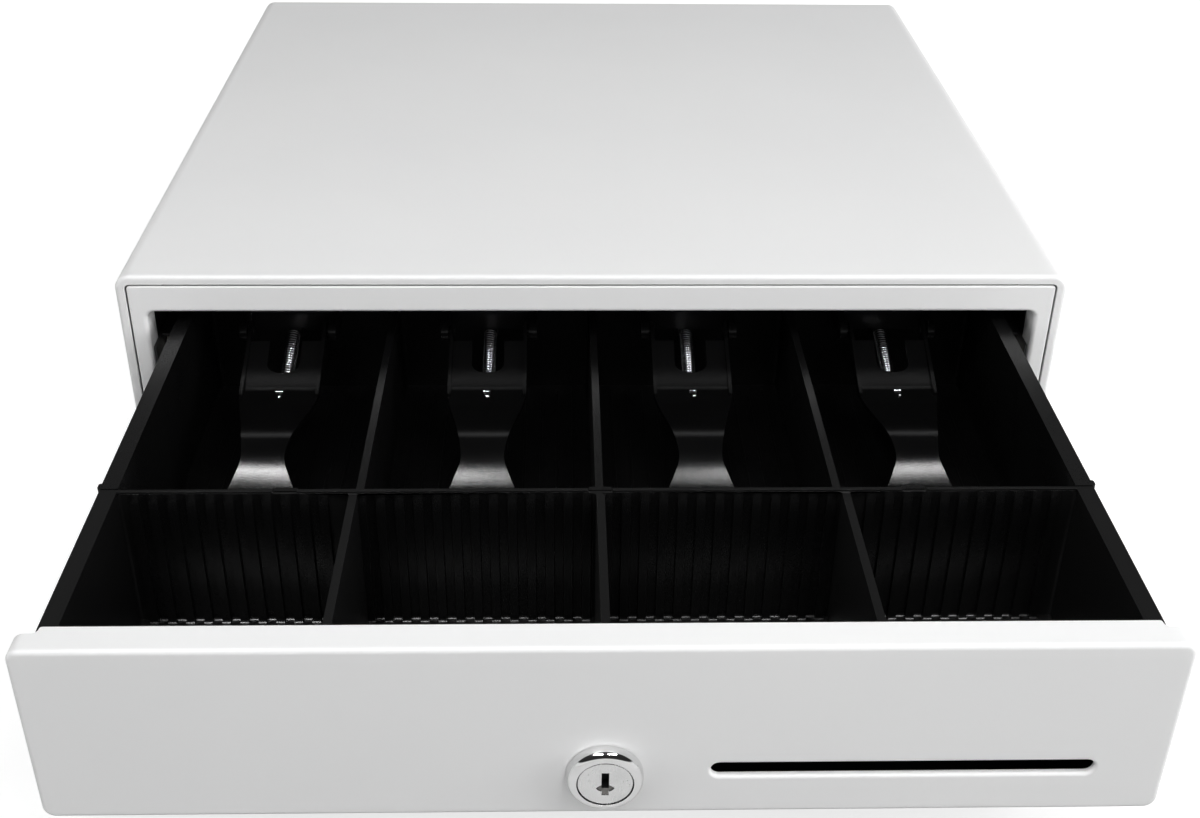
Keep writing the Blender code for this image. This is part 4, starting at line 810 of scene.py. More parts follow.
def make_drawer_front():
    """The folded front: rolled slot edge, lock hole, and a top flange that ends in a rounded notch."""
    half = panel_high.x
    flange = half - FLANGE_END
    notch = [(x + flange + NOTCH_RADIUS, y + SIDE_FLANGE + NOTCH_RADIUS)
             for x, y in arc((0, 0), NOTCH_RADIUS, 270, 180, 5)]
    notch += [(flange - 0.00005, TOP_FLANGE - 0.0006), (flange - 0.00025, TOP_FLANGE - 0.0002),
              (flange - 0.0007, TOP_FLANGE)]
    stops = [x for x, y in notch] + [-x for x, y in notch[::-1]]
    depths = {round(x, 7): y for x, y in notch}

    def reach(x, z):
        if z < panel_high.z - PANEL_CORNER:
            return SIDE_FLANGE
        return depths.get(round(abs(x), 7), SIDE_FLANGE)

    def loop(inset):
        return corner_loop(panel_low.x + inset, half - inset, panel_low.z + inset, panel_high.z - inset,
                           [PANEL_CORNER - inset] * 4, 8, stops)

    outer = loop(0)
    bend, inner = EDGE_BEND, SHEET + INNER_BEND
    rows = [[(x, 0, z) for x, z in loop(bend + 2 * HOLD)]]
    for inset, y in arc((bend, bend), bend, 270, 180, 8):
        rows.append([(x, y, z) for x, z in loop(inset)])
    rows.append([(x, bend + HOLD, z) for x, z in outer])
    for inset, short in SHEARED:
        rows.append([(x, reach(*place) - short, z) for (x, z), place in zip(loop(inset), outer)])
    rows.append([(x, inner + HOLD, z) for x, z in loop(SHEET)])
    for inset, y in arc((inner, inner), INNER_BEND, 180, 270, 4):
        rows.append([(x, y, z) for x, z in loop(inset)])
    rows.append([(x, SHEET, z) for x, z in loop(bend + 2 * HOLD)])

    lip, wall, deep = SLOT_LIP, SLOT_LIP_WALL, SLOT_LIP_DEPTH
    slot = [(lip + HOLD, 0), *arc((lip, lip), lip, 270, 180, 8), (0, deep - 0.0002), (0.0001, deep),
            (wall - 0.0001, deep), (wall, deep - 0.0002), (wall, SHEET + 0.0004), (lip + 0.0001, SHEET)]
    slot_rows = [[(x, y, z) for x, z in slot_loop(outset)] for outset, y in slot]
    hole_rows = [[(x, y, z) for x, z in arc((0, LOCK_Z), LOCK_HOLE, 0, 360, 48)[:-1]] for y in (0, SHEET)]

    shape = bmesh.new()

    def from_front(rows):
        return skin(shape, [[(x, PANEL_Y + y, z) for x, y, z in row] for row in rows], ring_columns=True)
    edges = [from_front(part) for part in (rows, slot_rows, hole_rows)]
    fill(shape, *(part[0] for part in edges))
    fill(shape, *(part[-1] for part in edges))
    show("drawer_front_piece", smooth(mesh_of(shape)), WHITE, "drawer", "drawer_front")


def make_drawer_pan():
    """The sheet tray under the two inner trays, folded with soft bends."""
    sheet = PAN_SHEET
    inner_low = pan_low + Vector((sheet, sheet, sheet))
    inner_high = pan_high + Vector((-sheet, -sheet, TOP_Z))

    def bottom(start, end):
        return max(start.z, end.z) < pan_low.z + 2 * sheet

    def lowered(y, height):
        """Cuts a wall down to its height."""
        return block((inner_low.x, y - 0.01, pan_low.z + height), (inner_high.x, y + 0.01, TOP_Z))

    wall = pan_low.y - PAST, pan_low.y + 3 * PAST
    cam_low, cam_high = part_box("lock_cam")
    cuts = [block(inner_low, inner_high, PAN_BENDS[1], bottom),
            lowered(pan_low.y, PAN_FRONT), lowered(pan_high.y, PAN_REAR),
            rod(LOCK_HOLE, "Y", (0, LOCK_Z), *wall), prism(slot_loop(SLOT_LIP), "Y", *wall),
            block((cam_low.x - CAM_PLAY, cam_low.y - CAM_PLAY, pan_low.z - PAST),
                  (cam_high.x + CAM_PLAY, cam_high.y + CAM_PLAY, pan_low.z + 3 * PAST))]
    pan = carved(block(pan_low, pan_high, PAN_BENDS[0], bottom), cut=cuts)
    show("drawer_pan_piece", eased(pan, 0.0002), BLACK_PAINT, "drawer", "drawer_pan")


# Trays

def pockets():
    """X range of each compartment, left to right."""
    walls = [-DIVIDER_PITCH, 0, DIVIDER_PITCH]
    lows = [-POCKET_HALF] + [wall + DIVIDER / 2 for wall in walls]
    highs = [wall - DIVIDER / 2 for wall in walls] + [POCKET_HALF]
    return list(zip(lows, highs))


def rim(front, rear, top):
    """The rims that hang on the drawer pan's walls."""
    return both_sides(POCKET_HALF + TRAY_WALL / 2, RIM_HALF, (front, top - RIM_THICKNESS), (rear, top))


def nub(y, top):
    """Small stops on the rims' outer edges where the trays meet."""
    return both_sides(RIM_HALF - PAST, RIM_HALF + NUB_PROUD, (y - NUB_LENGTH / 2, top - RIM_THICKNESS),
                      (y + NUB_LENGTH / 2, top), 0.0007, lambda start, end: abs(start.z - end.z) > 1e-5, 3)


def make_note_tray():
    front, rear = note_low.y, note_high.y
    body = block((-TRAY_HALF, front, note_low.z), (TRAY_HALF, rear, RIM_TOP), POCKET_FOOT,
                 lambda start, end: max(start.z, end.z) < RIM_TOP - PAST)

    def foot(start, end):
        """Edges round a compartment's floor, apart from its rear one."""
        at_rear = min(start.y, end.y) > rear - 2 * TRAY_WALL and abs(start.z - end.z) < 1e-6
        return min(start.z, end.z) < TRAY_FLOOR + 1e-6 and not at_rear

    cuts = [block((low, front + TRAY_WALL, TRAY_FLOOR), (high, rear - TRAY_WALL, TOP_Z), POCKET_CORNER, foot)
            for low, high in pockets()]
    divider_top = RIM_TOP - NOTE_DIVIDER_DROP
    cuts.append(block((-POCKET_HALF, front - PAST, divider_top), (POCKET_HALF, rear - TRAY_WALL, TOP_Z)))
    half = LUG_WIDTH / 2 - LUG_PLAY
    lugs = [block((x - half, front, divider_top - 0.002), (x + half, front + TRAY_WALL, RIM_TOP - LUG_DROP))
            for x in LUG_PLACES]
    solid = carved(body, joined=rim(front, rear, RIM_TOP), cut=cuts)
    solid = carved(solid, joined=lugs + nub(front + 0.0018, RIM_TOP))
    show("note_tray_piece", eased(solid, TRAY_EDGE, 3), TRAY_BLACK, "drawer", "note_tray")


def scoop(depth, front, rear, bottom, top):
    """Side outline of a coin compartment: curved up at the front and upright at the rear."""
    curve = arc((front + depth, top), (depth, top - bottom), 180, 270, 20)
    return [*curve, (rear, bottom), (rear, top)]


def make_coin_tray():
    top, front, rear = coin_high.z, COIN_FRONT, COIN_REAR
    outer = prism(scoop(SCOOP_LENGTH, front, rear, coin_low.z, top), "X", -TRAY_HALF, TRAY_HALF)
    hooks = both_sides(RIM_HALF - HOOK_WIDTH, RIM_HALF, (front - HOOK_LENGTH, RIM_TOP - RIM_THICKNESS),
                       (front + HOOK_LENGTH, top))
    wall = rear - COIN_WALL
    inner = scoop(SCOOP_LENGTH - TRAY_WALL, front + TRAY_WALL, wall, COIN_FLOOR, top)
    above = [(y, z + (SHEET if z > top - 1e-6 else 0)) for y, z in inner]
    cuts = [softened_scoop(above, low, high) for low, high in pockets()]
    cuts.append(block((-POCKET_HALF, front + TRAY_WALL, top - COIN_DIVIDER_DROP), (POCKET_HALF, wall, TOP_Z)))
    half = LUG_WIDTH / 2
    cuts += [block((x - half, wall - COIN_WALL, top - LUG_DROP), (x + half, rear + PAST, TOP_Z))
             for x in LUG_PLACES]
    solid = carved(outer, joined=rim(front, rear, top) + hooks)
    solid = carved(solid, cut=cuts)
    show("coin_tray_piece", eased(solid, TRAY_EDGE, 3), COIN_TRAY_BLACK, "coin_tray", "coin_tray")


def softened_scoop(outline, low, high):
    """A coin compartment's hollow, with a rounded foot along its two sides."""
    shape = bmesh.new()
    shape.from_mesh(prism(outline, "X", low, high))
    edges = [edge for edge in shape.edges
             if abs(edge.verts[0].co.x - edge.verts[1].co.x) < TINY and
             min(corner.co.z for corner in edge.verts) < coin_high.z - 0.004]
    bmesh.ops.bevel(shape, geom=edges, offset=POCKET_FOOT, segments=3, profile=0.5, affect="EDGES")
    return mesh_of(shape)


def rib_pattern():
    """A wall with upright ribs that fade out at its top, and a rounded foot that follows them."""
    tree = Pattern("ribbed_wall", {"Ribs": 12, "Pitch": RIB_PITCH, "Width": RIB_WIDTH, "Side": RIB_SIDE,
                                   "Depth": RIB_DEPTH, "Foot": RIB_FOOT, "Height": 0.05, "Taper": RIB_TAPER})
    pitch, width, side, foot = (tree.size(label) for label in ("Pitch", "Width", "Side", "Foot"))
    columns = tree.size("Ribs") * 4
    rounds, tapers = 10, 6
    rows = rounds + tapers + 3
    sheet = tree.node("GeometryNodeMeshGrid", {}, {"Size X": columns - 1, "Size Y": float(rows - 1),
                                                   "Vertices X": columns, "Vertices Y": rows})
    place = tree.node("GeometryNodeInputPosition")
    up = tree.part(place, "Y") + (rows - 1) / 2
    column = (tree.part(place, "X") + (columns - 1) / 2).maths("ROUND")
    corner = column % 4
    on_rib = (corner > 0.5) * (corner < 2.5)
    x = (column - corner) / 4 * pitch + side * (corner > 0.5) + width * (corner > 1.5) + side * (corner > 2.5)
    turn = ((up - 1) / rounds).clamped() * (math.pi / 2)
    sine, cosine = turn.maths("SINE"), turn.maths("COSINE")
    taper, height = tree.size("Taper"), tree.size("Height")
    share = ((up - rounds - 2) / tapers).clamped()
    z = foot * (1 - cosine) + (up - rounds - 1).clamped() * (height - foot - taper) + share * taper
    y = foot * sine - foot - on_rib * (1 - share * share) * tree.size("Depth") - (1 - up).clamped() * foot
    shaped = tree.node("GeometryNodeSetPosition", {}, {"Geometry": sheet, "Position": tree.vector(x, y, z)})
    tree.end(shaped, TRAY_BLACK)
    return tree


def make_coin_ribs():
    """Ribs on the rear wall of each coin compartment, in one piece with their rounded foot."""
    pattern = rib_pattern()
    walls = []
    for count, shift, (low, high) in zip(RIB_COUNTS, RIB_SHIFTS, pockets()):
        start = (low + high) / 2 + shift - ((count - 1) * RIB_PITCH + RIB_WIDTH + 2 * RIB_SIDE) / 2
        wall = pattern.grown({"Ribs": count, "Height": coin_high.z - COIN_FLOOR - RIB_TOP})
        wall = modified(wall, ("SOLIDIFY", {"thickness": RIB_WALL, "offset": -1.0}))
        walls.append(moved(wall, (start, COIN_REAR - COIN_WALL - RIB_SINK, COIN_FLOOR + RIB_SINK)))
    show("coin_wall_ribs", smooth(together(walls), 50), TRAY_BLACK, "coin_tray")


def bar_pattern(finish, name="floor_ribs"):
    """Equal bars in a row."""
    tree = Pattern(name, {"Count": 10, "Pitch": 0.007, "Width": 0.0012, "Length": 0.15, "Height": 0.0004})
    size = tree.vector(tree.size("Width"), tree.size("Length"), tree.size("Height"))
    bar = tree.node("GeometryNodeMeshCube", {}, {"Size": size})
    line = tree.node("GeometryNodeMeshLine", {"mode": "OFFSET"},
                     {"Count": tree.size("Count"), "Offset": tree.vector(tree.size("Pitch"))})
    row = tree.node("GeometryNodeInstanceOnPoints", {}, {"Points": line, "Instance": bar})
    tree.end(row, finish)
    return tree


def make_floor_ribs():
    """Low ribs along the floors of the note compartments, so that notes don't stick."""
    pattern, pitch = bar_pattern(TRAY_BLACK), FLOOR_RIB_PITCH
    length = note_high.y - note_low.y - 2 * FLOOR_RIB_END
    rows = []
    for low, high in pockets():
        count = int((high - low - FLOOR_RIB_END) / pitch)
        row = pattern.grown({"Count": count, "Pitch": pitch, "Length": length, "Height": FLOOR_RIB_HEIGHT})
        start = (low + high) / 2 - (count - 1) * pitch / 2
        rows.append(moved(row, (start, (note_low.y + note_high.y) / 2, TRAY_FLOOR)))
    show("note_floor_ribs", eased(together(rows), 0.0003), TRAY_BLACK, "drawer")


# Clips

def coil_pattern(name, finish):
    """Round wire wound into an open coil along Z."""
    tree = Pattern(name, {"Length": 0.04, "Radius": 0.003, "Wire": 0.0006, "Turns": 40.0})
    reach = tree.size("Radius") - tree.size("Wire") / 2
    path = tree.node("GeometryNodeCurveSpiral", {},
                     {"Resolution": 20, "Rotations": tree.size("Turns"), "Start Radius": reach,
                      "End Radius": reach, "Height": tree.size("Length") - tree.size("Wire")})
    wire = tree.node("GeometryNodeCurvePrimitiveCircle", {},
                     {"Resolution": 7, "Radius": tree.size("Wire") / 2})
    coil = tree.node("GeometryNodeCurveToMesh", {}, {"Curve": path, "Profile Curve": wire, "Fill Caps": True})
    tree.end(coil, finish)
    return tree


def aimed(mesh, start, end):
    """Lays a mesh that was drawn along Z between two points."""
    start, end = Vector(start), Vector(end)
    turn = (end - start).to_track_quat("Z", "Y").to_matrix().to_4x4()
    mesh.transform(Matrix.Translation(start) @ turn)
    return mesh


def spring_hook():
    """The end of a coil's wire: a bridge over the clip's web and the cut tip in front of it."""
    radius, (y, z) = HOOK_WIRE / 2, HOOK_PLACE
    bridge = rod(radius, "X", (y, z), -HOOK_HALF, HOOK_HALF, 16)
    legs = [rod(radius, "Z", (sign * (HOOK_HALF - radius), y), z - HOOK_LEG, z, 16)
            for sign in SIDES.values()]
    return eased(carved(bridge, joined=[*legs, rod(radius, "X", HOOK_TIP, *HOOK_TIP_ENDS, 16)]), 0.0001)


def make_clips():
    """The waisted clips on their brackets, each with its coil."""
    coil = coil_pattern("clip_coil", WIRE)
    half = CLIP_WIDTH / 2
    side = strip_outline(smooth_line(CLIP_LINE, 8), CLIP_THICKNESS)
    right = smooth_line(CLIP_PLAN, 6)
    plan = [(half, CLIP_EAR), *right, *[(-x, y) for x, y in right[::-1]], (-half, CLIP_EAR)]
    low = 2 * CLIP_LINE[-1][1]
    flange = [*arc((0, 0), CLIP_EAR, -70, 150, 16), *CLIP_FLANGE_TIP]
    slot = [*arc((0, CLIP_SLOT_END + CLIP_SLOT_ROUND), (CLIP_SLOT / 2, CLIP_SLOT_ROUND), 180, 360, 16),
            (CLIP_SLOT / 2, 2 * CLIP_EAR), (-CLIP_SLOT / 2, 2 * CLIP_EAR)]
    tab_y, tab_low, tab_root = SPRING_TAB
    for number, x in CLIPS.items():
        arm = carved(prism(side, "X", -half, half), common=[prism(plan, "Z", low, CLIP_EAR)])
        joined = [prism(flange, "X", *sorted((sign * (half - CLIP_FLANGE), sign * half)))
                  for sign in SIDES.values()]
        joined.append(block((-SPRING_TAB_WIDTH / 2, tab_y, tab_low),
                            (SPRING_TAB_WIDTH / 2, tab_y + CLIP_THICKNESS, tab_root)))
        cuts = [prism(slot, "Z", low, CLIP_EAR), rod(CLIP_PIN, "X", (0, 0), -2 * half, 2 * half, 24)]
        clip = eased(carved(arm, joined=joined, cut=cuts), 0.00035, 3, 50)
        hinge = Vector((x, CLIP_Y, CLIP_Z))
        body = f"clip_{number}"
        show(f"note_clip_{number}_piece", moved(clip, hinge), CLIP_BLACK, body, f"note_clip_{number}")
        refine(f"clip_bracket_{number}", TRAY_BLACK, 0.0003)
        show(f"clip_hook_{number}", moved(spring_hook(), hinge), WIRE, body)
        front = hinge + Vector((0, *SPRING_FRONT))
        rear = hinge + Vector((0, *SPRING_REAR))
        length = (rear - front).length
        mesh = coil.grown({"Length": length, "Radius": SPRING_RADIUS, "Wire": SPRING_WIRE,
                           "Turns": (length - SPRING_WIRE) / SPRING_PITCH})
        mesh.shade_smooth()
        spring = placed(f"clip_spring_{number}_coil", aimed(mesh, front, rear))
        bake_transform(spring)
        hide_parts(f"clip_spring_{number}")


# Lock

def make_lock():
    """A domed bezel, and the plug's faced disc with its keyhole and the dip that guides the key."""
    proud, dome = BEZEL_PROUD, BEZEL_ROUND
    low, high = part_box("lock_body")
    rear, plug_rear = high.y - PANEL_Y, plug_high.y - PANEL_Y
    recess, floor, barrel = FACE_RADIUS + FACE_PLAY, RECESS_DEPTH - proud, BARREL_RADIUS
    profile = [(BARREL_BORE, floor), (recess - LOCK_EDGE, floor), (recess, floor - LOCK_EDGE),
               (recess, -proud), *arc((BEZEL_RADIUS - dome, dome - proud), dome, -90, 0, 20),
               (BEZEL_RADIUS, -BEZEL_SEAT), (barrel, -BEZEL_SEAT), (barrel, rear - LOCK_EDGE),
               (barrel - LOCK_EDGE, rear), (BARREL_BORE, rear)]
    centre = (0, PANEL_Y, LOCK_Z)
    show("lock_bezel", turned(profile, centre, "Y", 128), CHROME, "drawer", "lock_body")

    face, back = FACE_SET - proud, FACE_BACK - proud
    shoulder = plug_rear - TAIL_LENGTH
    disc = [(0, plug_rear), (TAIL_RADIUS - TAIL_EDGE, plug_rear), (TAIL_RADIUS, plug_rear - TAIL_EDGE),
            (TAIL_RADIUS, shoulder), (PLUG_RADIUS, shoulder), (PLUG_RADIUS, back), (FACE_RADIUS, back),
            *arc((FACE_RADIUS - FACE_EDGE, face + FACE_EDGE), FACE_EDGE, 0, -90, 12), (0, face)]
    plug = flattened(turned(disc, centre, "Y", 128))
    front = PANEL_Y + face

    def opening(half, bottom, top, start, end, inset=0.0):
        """A block in the face, from one depth to another."""
        return block((inset - half, front + start, LOCK_Z + bottom + inset),
                     (half - inset, front + end, LOCK_Z + top - inset))

    keyway = opening(*KEYWAY, -0.01, KEYWAY_DEPTH)
    dip = lens(*DIP, (0, LOCK_Z - DIP_DROP), front - 0.01, front + DIP_DEPTH)
    plug = carved(plug, cut=[dip, opening(*KEYWAY_FOOT, -0.01, 0.0005), keyway])
    show("lock_plug_piece", eased(plug, 0.0001, 2, 50), FACED_CHROME, "lock", "lock_plug")
    # A dark steel plate in the floor of the dip and of the keyway's foot: painted shade in these shallow
    # recesses.
    dip_shade_liner = lens(DIP[0] - 0.0001, DIP[1] - 0.0001, (0, LOCK_Z - DIP_DROP), front + 0.0004, front + 0.0012)
    step = opening(0.0011, -0.0049, -DIP_DROP, 0.0004, 0.0012)
    dip_shade_liner = eased(carved(dip_shade_liner, joined=[step], cut=[keyway]), 0.00005)
    show("lock_dip_painted_shade", dip_shade_liner, DIP_SHADE_STEEL, "lock")
    # A thin black lining just inside the keyway's faces: painted shade, so that the keyhole looks dark.
    hollow = opening(*KEYWAY, -0.01, KEYWAY_DEPTH - 0.0005, SHADE_LINING_INNER)
    keyway_shade_lining = carved(opening(*KEYWAY, 0.0004, KEYWAY_DEPTH - 0.0001, SHADE_LINING_OUTER), cut=[hollow])
    show("keyway_painted_shade", keyway_shade_lining, BLACK_PAINT, "lock")


def flattened(mesh):
    """The same solid with its flat areas in single faces."""
    shape = bmesh.new()
    shape.from_mesh(mesh)
    bmesh.ops.dissolve_limit(shape, angle_limit=math.radians(0.2), verts=shape.verts, edges=shape.edges)
    return plain(shape)


def lens(half, rise, centre, low, high):
    """A pointed oval, as a solid along Y."""
    radius = (half ** 2 + rise ** 2) / (2 * rise)
    spread = math.degrees(math.asin(half / radius))
    upper = arc((centre[0], centre[1] + rise - radius), radius, 90 - spread, 90 + spread, 12)
    lower = arc((centre[0], centre[1] - rise + radius), radius, 270 - spread, 270 + spread, 12)
    return prism(upper + lower[1:-1], "Y", low, high)


# Hardware

def screw_pattern():
    """Cross-recessed pan heads at the corners of a rectangle, facing up Z."""
    tree = Pattern("pan_head_screws", {"Across": 0.4, "Up": 0.07, "Radius": 0.003, "Height": 0.0015,
                                       "Shank": 0.0015, "Length": 0.006, "Recess": 0.0006})
    radius, height, length = tree.size("Radius"), tree.size("Height"), tree.size("Length")

    def raised(part, z):
        return tree.node("GeometryNodeTransform", {}, {"Geometry": part, "Translation": tree.vector(z=z)})

    head = tree.node("GeometryNodeMeshCone", {}, {"Vertices": 32, "Side Segments": 1, "Depth": height,
                                                  "Radius Top": radius * 0.72, "Radius Bottom": radius})
    shank = tree.node("GeometryNodeMeshCylinder", {}, {"Vertices": 16, "Radius": tree.size("Shank"),
                                                       "Depth": length})
    arm, thin, deep = radius * 1.15, radius * 0.24, tree.size("Recess") * 2
    for size in (tree.vector(arm, thin, deep), tree.vector(thin, arm, deep)):
        bar = raised(tree.node("GeometryNodeMeshCube", {}, {"Size": size}), height)
        head = tree.node("GeometryNodeMeshBoolean", {"operation": "DIFFERENCE"},
                         {"Mesh 1": head, "Mesh 2": bar})
    screw = tree.node("GeometryNodeJoinGeometry", {}, {0: [head, raised(shank, length * -0.5)]})
    corners = tree.node("GeometryNodeMeshGrid", {}, {"Size X": tree.size("Across"), "Size Y": tree.size("Up"),
                                                     "Vertices X": 2, "Vertices Y": 2})
    tree.end(tree.node("GeometryNodeInstanceOnPoints", {}, {"Points": corners, "Instance": screw}), ZINC)
    return tree


def make_screws():
    places = screw_places()
    across = places[1][0] - places[0][0]
    up = places[2][1] - places[0][1]
    mesh = screw_pattern().grown({"Across": across, "Up": up, "Height": 0.0015})
    centre = Vector((0, REAR_Y + 0.0003, (places[0][1] + places[2][1]) / 2))
    mesh.transform(Matrix.Translation(centre) @ Matrix.Rotation(math.radians(-90), 4, "X"))
    names = [f"rear_screw_{row}_{side}" for row in ("lower", "upper") for side in SIDES]
    show("rear_screws", eased(mesh, 0.00012, 2, 35), ZINC, "housing", *names)


def make_socket():
    """The modular socket: a stepped mouth, its latch notch and six sprung contacts."""
    low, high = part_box("cable_socket")
    middle, wall = (low.x + high.x) / 2, SOCKET_WALL
    steps = (((high.x - low.x) / 2 - wall, 2 * wall, wall, high.z - wall),
             (0.0032, 3 * wall, 0.0008, low.z + 0.003), (0.0016, 3 * wall, 0.0003, low.z + 0.003))
    mouth = [block((middle - half, low.y + back, low.z + bottom), (middle + half, high.y + PAST, top))
             for half, back, bottom, top in steps]
    body = carved(block(low, high), cut=mouth)
    show("cable_socket_piece", eased(body, 0.0002), TRAY_BLACK, "housing", "cable_socket")
    mesh = bar_pattern(WIRE, "socket_contacts").grown({"Count": SOCKET_CONTACTS, "Pitch": CONTACT_PITCH,
                                                       "Width": 0.0004, "Length": 0.009, "Height": 0.0004})
    mesh.transform(Matrix.Rotation(math.radians(18), 4, "X"))
    start = middle - (SOCKET_CONTACTS - 1) / 2 * CONTACT_PITCH
    moved(mesh, (start, high.y - 0.0070, high.z - 0.0045))
    show("socket_contacts", eased(mesh, 0.0001), WIRE, "housing")


def make_feet():
    for row in ("front", "rear"):
        for side in SIDES:
            node = f"foot_{row}_{side}"
            low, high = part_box(node)
            radius, top = (high.x - low.x) / 2, high.z
            profile = [(0, top), (radius * 0.86, top), (radius * 0.97, top * 0.92), (radius, top * 0.75),
                       *arc((radius * 0.93 - 0.0008, 0.0008), 0.0008, 0, -90, 5),
                       (radius * 0.45, 0), (radius * 0.40, 0.0012), (0, 0.0012)]
            centre = ((low.x + high.x) / 2, (low.y + high.y) / 2, 0)
            show(f"{node}_piece", turned(profile, centre, "Z", 64), RUBBER, "housing", node)


def make_rollers():
    for kind in ("housing_roller", "drawer_roller"):
        for side in SIDES:
            node = f"{kind}_{side}"
            low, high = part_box(node)
            middle = (low + high) / 2
            radius, half = (high.z - low.z) / 2, (high.x - low.x) / 2
            rim_round, hub = radius * 0.12, radius * 0.55
            outer = [(hub, half), (hub + 0.0004, half - 0.0006), (radius - 2 * rim_round, half - 0.0006),
                     (radius - 1.6 * rim_round, half)]
            outer += arc((radius - rim_round, half - rim_round), rim_round, 90, 0, 5)
            profile = [(0.0023, half), *outer]
            profile += [(r, -far) for r, far in profile[::-1]]
            show(f"{node}_piece", turned(profile, middle, "X", 64), NYLON, node, node)
            refine(f"{kind}_pin_{side}", ZINC, 0.0002)


def make_ejector():
    low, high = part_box("ejector_spring")
    middle = (low + high) / 2
    mesh = coil_pattern("ejector_coil", WIRE).grown({"Length": high.y - low.y, "Radius": (high.x - low.x) / 2,
                                                     "Wire": EJECTOR_WIRE, "Turns": EJECTOR_TURNS})
    mesh.shade_smooth()
    aimed(mesh, (middle.x, low.y + EJECTOR_WIRE / 2, middle.z), (middle.x, high.y, middle.z))
    spring = show("ejector_spring_coil", mesh, WIRE, "housing", "ejector_spring")
    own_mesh(spring)


def make_coil():
    """The solenoid's winding under its tape, between two flanges."""
    low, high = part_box("solenoid_coil")
    middle = (low + high) / 2
    radius, half = (high.z - low.z) / 2, (high.x - low.x) / 2
    profile = [(0.0043, half), (radius, half), (radius, half - 0.0012), (radius - 0.0009, half - 0.0013)]
    profile += [(r, -far) for r, far in profile[::-1]]
    show("solenoid_coil_piece", turned(profile, middle, "X", 64), TAPE, "housing", "solenoid_coil")


def make_switch():
    """The switch's two-part body with its fixing screws' recesses."""
    low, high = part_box("drawer_switch")
    middle, deep = (low + high) / 2, SWITCH_SEAM_DEPTH
    seam = [block((left, middle.y - SWITCH_SEAM, bottom), (right, middle.y + SWITCH_SEAM, high.z + PAST))
            for left, right, bottom in ((low.x - PAST, low.x + deep, low.z - PAST),
                                        (high.x - deep, high.x + PAST, low.z - PAST),
                                        (low.x - PAST, high.x + PAST, high.z - deep))]
    holes = [rod(SWITCH_HOLE, "Y", (middle.x + offset, middle.z - offset), low.y - PAST, high.y + PAST, 24)
             for offset in (-SWITCH_HOLE_REACH, SWITCH_HOLE_REACH)]
    body = carved(block(low, high), cut=[*seam, *holes])
    show("drawer_switch_piece", eased(body, 0.0003), TRAY_BLACK, "housing", "drawer_switch")


def make_hardware():
    make_screws()
    make_socket()
    make_feet()
    make_rollers()
    make_ejector()
    make_coil()
    make_switch()
    refine("rear_panel", WHITE, 0.0002)
    for side in SIDES:
        for node in ("side_plate", "housing_rail", "drawer_rail"):
            refine(f"{node}_{side}", BLACK_PAINT, 0.00025)
    for node in ("base_pan", "lock_keeper", "latch_post", "latch_hook", "solenoid_bracket",
                 "ejector_bracket", "latch_strike", "lock_nut", "lock_cam"):
        refine(node, ZINC, 0.0002)
    for node in ("solenoid_plunger", "switch_lever"):
        refine(node, WIRE, 0.00015)


# Studio

def make_floor():
    """A wide sheet of white paper that the housing stands on."""
    ends = (-FLOOR_REACH, FLOOR_REACH)
    shape = bmesh.new()
    skin(shape, [[(x, y, -FLOOR_DROP) for x in ends] for y in ends])
    floor = placed("floor", plain(shape, "floor"))
    paper = Finish("floor_paper", None, Roughness=0.9, Specular_IOR_Level=0.0, Emission_Color=(1, 1, 1, 1))
    camera, mirror = paper.rays("Is Camera Ray"), paper.rays("Is Glossy Ray", "Is Transmission Ray")
    paper.feed("Base Color", paper.mix((camera + mirror).clamped(), [0.16] * 3, [0.50] * 3))
    reach = paper.node("ShaderNodeVectorMath", {"operation": "LENGTH"}, {0: paper.place}, 1)
    glow = camera * (0.70 + 0.25 * ((reach - 0.4) / 1.4).clamped()) + mirror * 0.18
    paper.feed("Emission Strength", glow)
    floor.data.materials.append(paper.material)


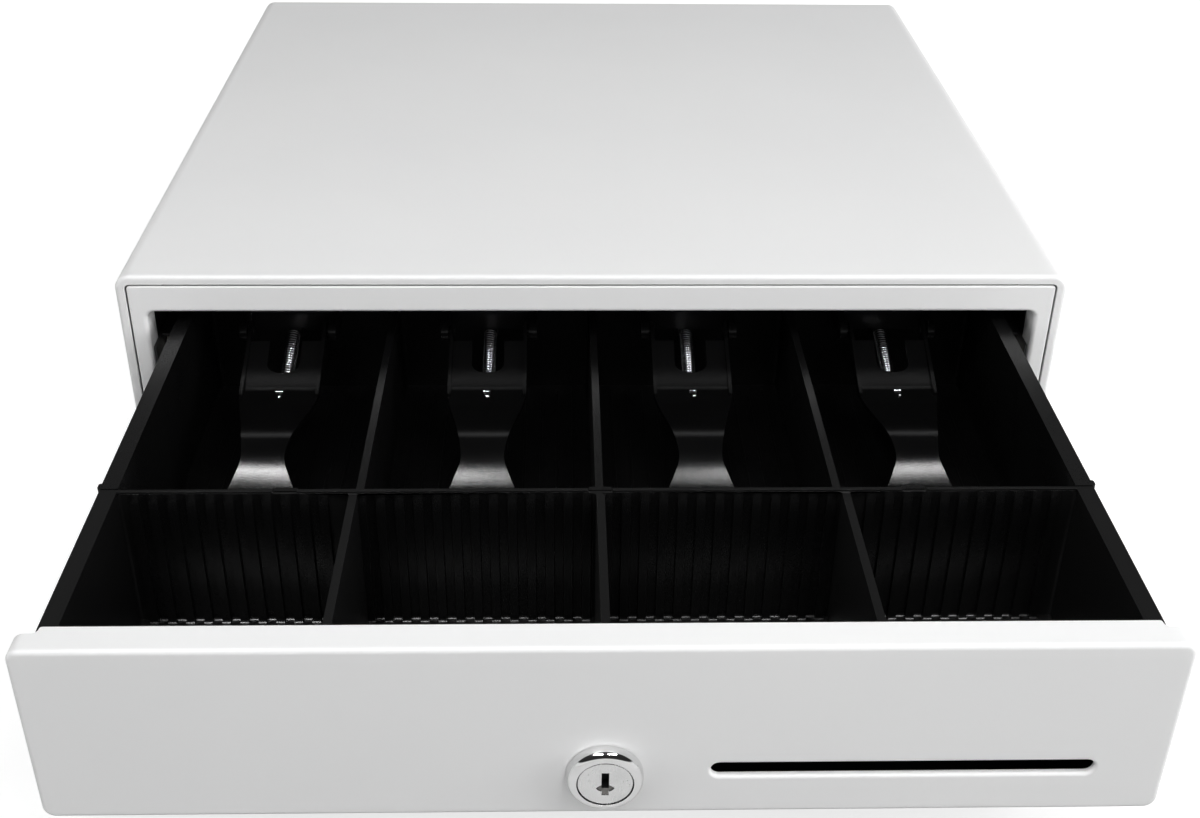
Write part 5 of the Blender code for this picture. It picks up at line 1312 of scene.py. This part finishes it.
def make_world():
    """Even light from all round. A mirror sees a pale floor line, a dark front, a pale rear and a grey
    ceiling."""
    world = bpy.data.worlds.new("studio")
    bpy.context.scene.world = world
    world.use_nodes = True
    tree = Tree(world.node_tree)
    where = tree.node("ShaderNodeTexCoord", output="Generated")
    up, behind = tree.part(where, "Z"), (tree.part(where, "Y") * 4 + 0.5).clamped()
    walls = [tree.node("ShaderNodeValToRGB", {"stops": stops}, {"Fac": up})
             for stops in (MIRRORED_FRONT, MIRRORED_REAR)]
    mirrored = tree.rays("Is Glossy Ray", "Is Transmission Ray")
    lit = tree.mix(mirrored, [AMBIENT] * 3, tree.mix(behind, *walls))
    seen = tree.mix(tree.rays("Is Camera Ray"), lit, [1] * 3)
    background = world.node_tree.nodes["Background"]
    world.node_tree.links.new(seen.socket, background.inputs["Color"])
    background.inputs["Strength"].default_value = 1.0


def lamp(name, place, size, power):
    light = bpy.data.lights.new(name, "AREA")
    light.shape = "RECTANGLE"
    light.size, light.size_y = size
    light.energy = power
    made = placed(name, light)
    made.location = place
    made.rotation_euler = (Vector(LAMP_AIM) - Vector(place)).to_track_quat("-Z", "Y").to_euler()
    return made


def make_lamps():
    """Two soft boxes above the drawer, as a gloss sees them and as they light, and broad fills round the
    object."""
    for name, place, size, power in (("right_softbox", (0.35, -0.635, 1.00), (0.46, 0.13), 6.8),
                                     ("left_softbox", (-0.33, -0.635, 1.00), (0.52, 0.09), 11.0)):
        lamp(name, place, size, power).visible_diffuse = False
    for name, place, size, power in (("right_light", (0.35, -0.635, 1.00), (0.46, 0.16), 3.9),
                                     ("left_light", (-0.32, -0.635, 1.00), (0.46, 0.16), 2.1),
                                     ("front_fill", (0.80, -2.1, 0.85), (2.0, 1.0), 12),
                                     ("right_fill", (1.7, -0.5, 0.7), (1.0, 1.0), 27),
                                     ("left_fill", (-1.7, -0.7, 0.6), (1.0, 1.0), 10),
                                     ("rear_left_fill", (-1.6, 1.9, 0.45), (1.0, 1.0), 11),
                                     ("rear_right_fill", (1.6, 1.9, 0.45), (1.0, 1.0), 11)):
        lamp(name, place, size, power).visible_glossy = False


def make_camera():
    """Stands in front and a little left, and looks down into the open drawer."""
    lens_data = bpy.data.cameras.new("camera")
    lens_data.lens = 45.563
    lens_data.sensor_width = 36
    lens_data.clip_start = 0.01
    camera = placed("camera", lens_data)
    camera.location = (-0.01381, FRONT_Y - 0.58309, TOP_Z + 0.29240)
    camera.rotation_euler = Euler([math.radians(angle) for angle in (58.37815, -0.62226, -1.27730)])
    bpy.context.scene.camera = camera


make_camera()
make_cover()
make_fascia()
make_drawer_front()
make_drawer_pan()
make_note_tray()
make_coin_tray()
make_coin_ribs()
make_floor_ribs()
make_clips()
make_lock()
make_hardware()
make_floor()
make_world()
make_lamps()
bpy.context.scene.view_settings.view_transform = "Standard"
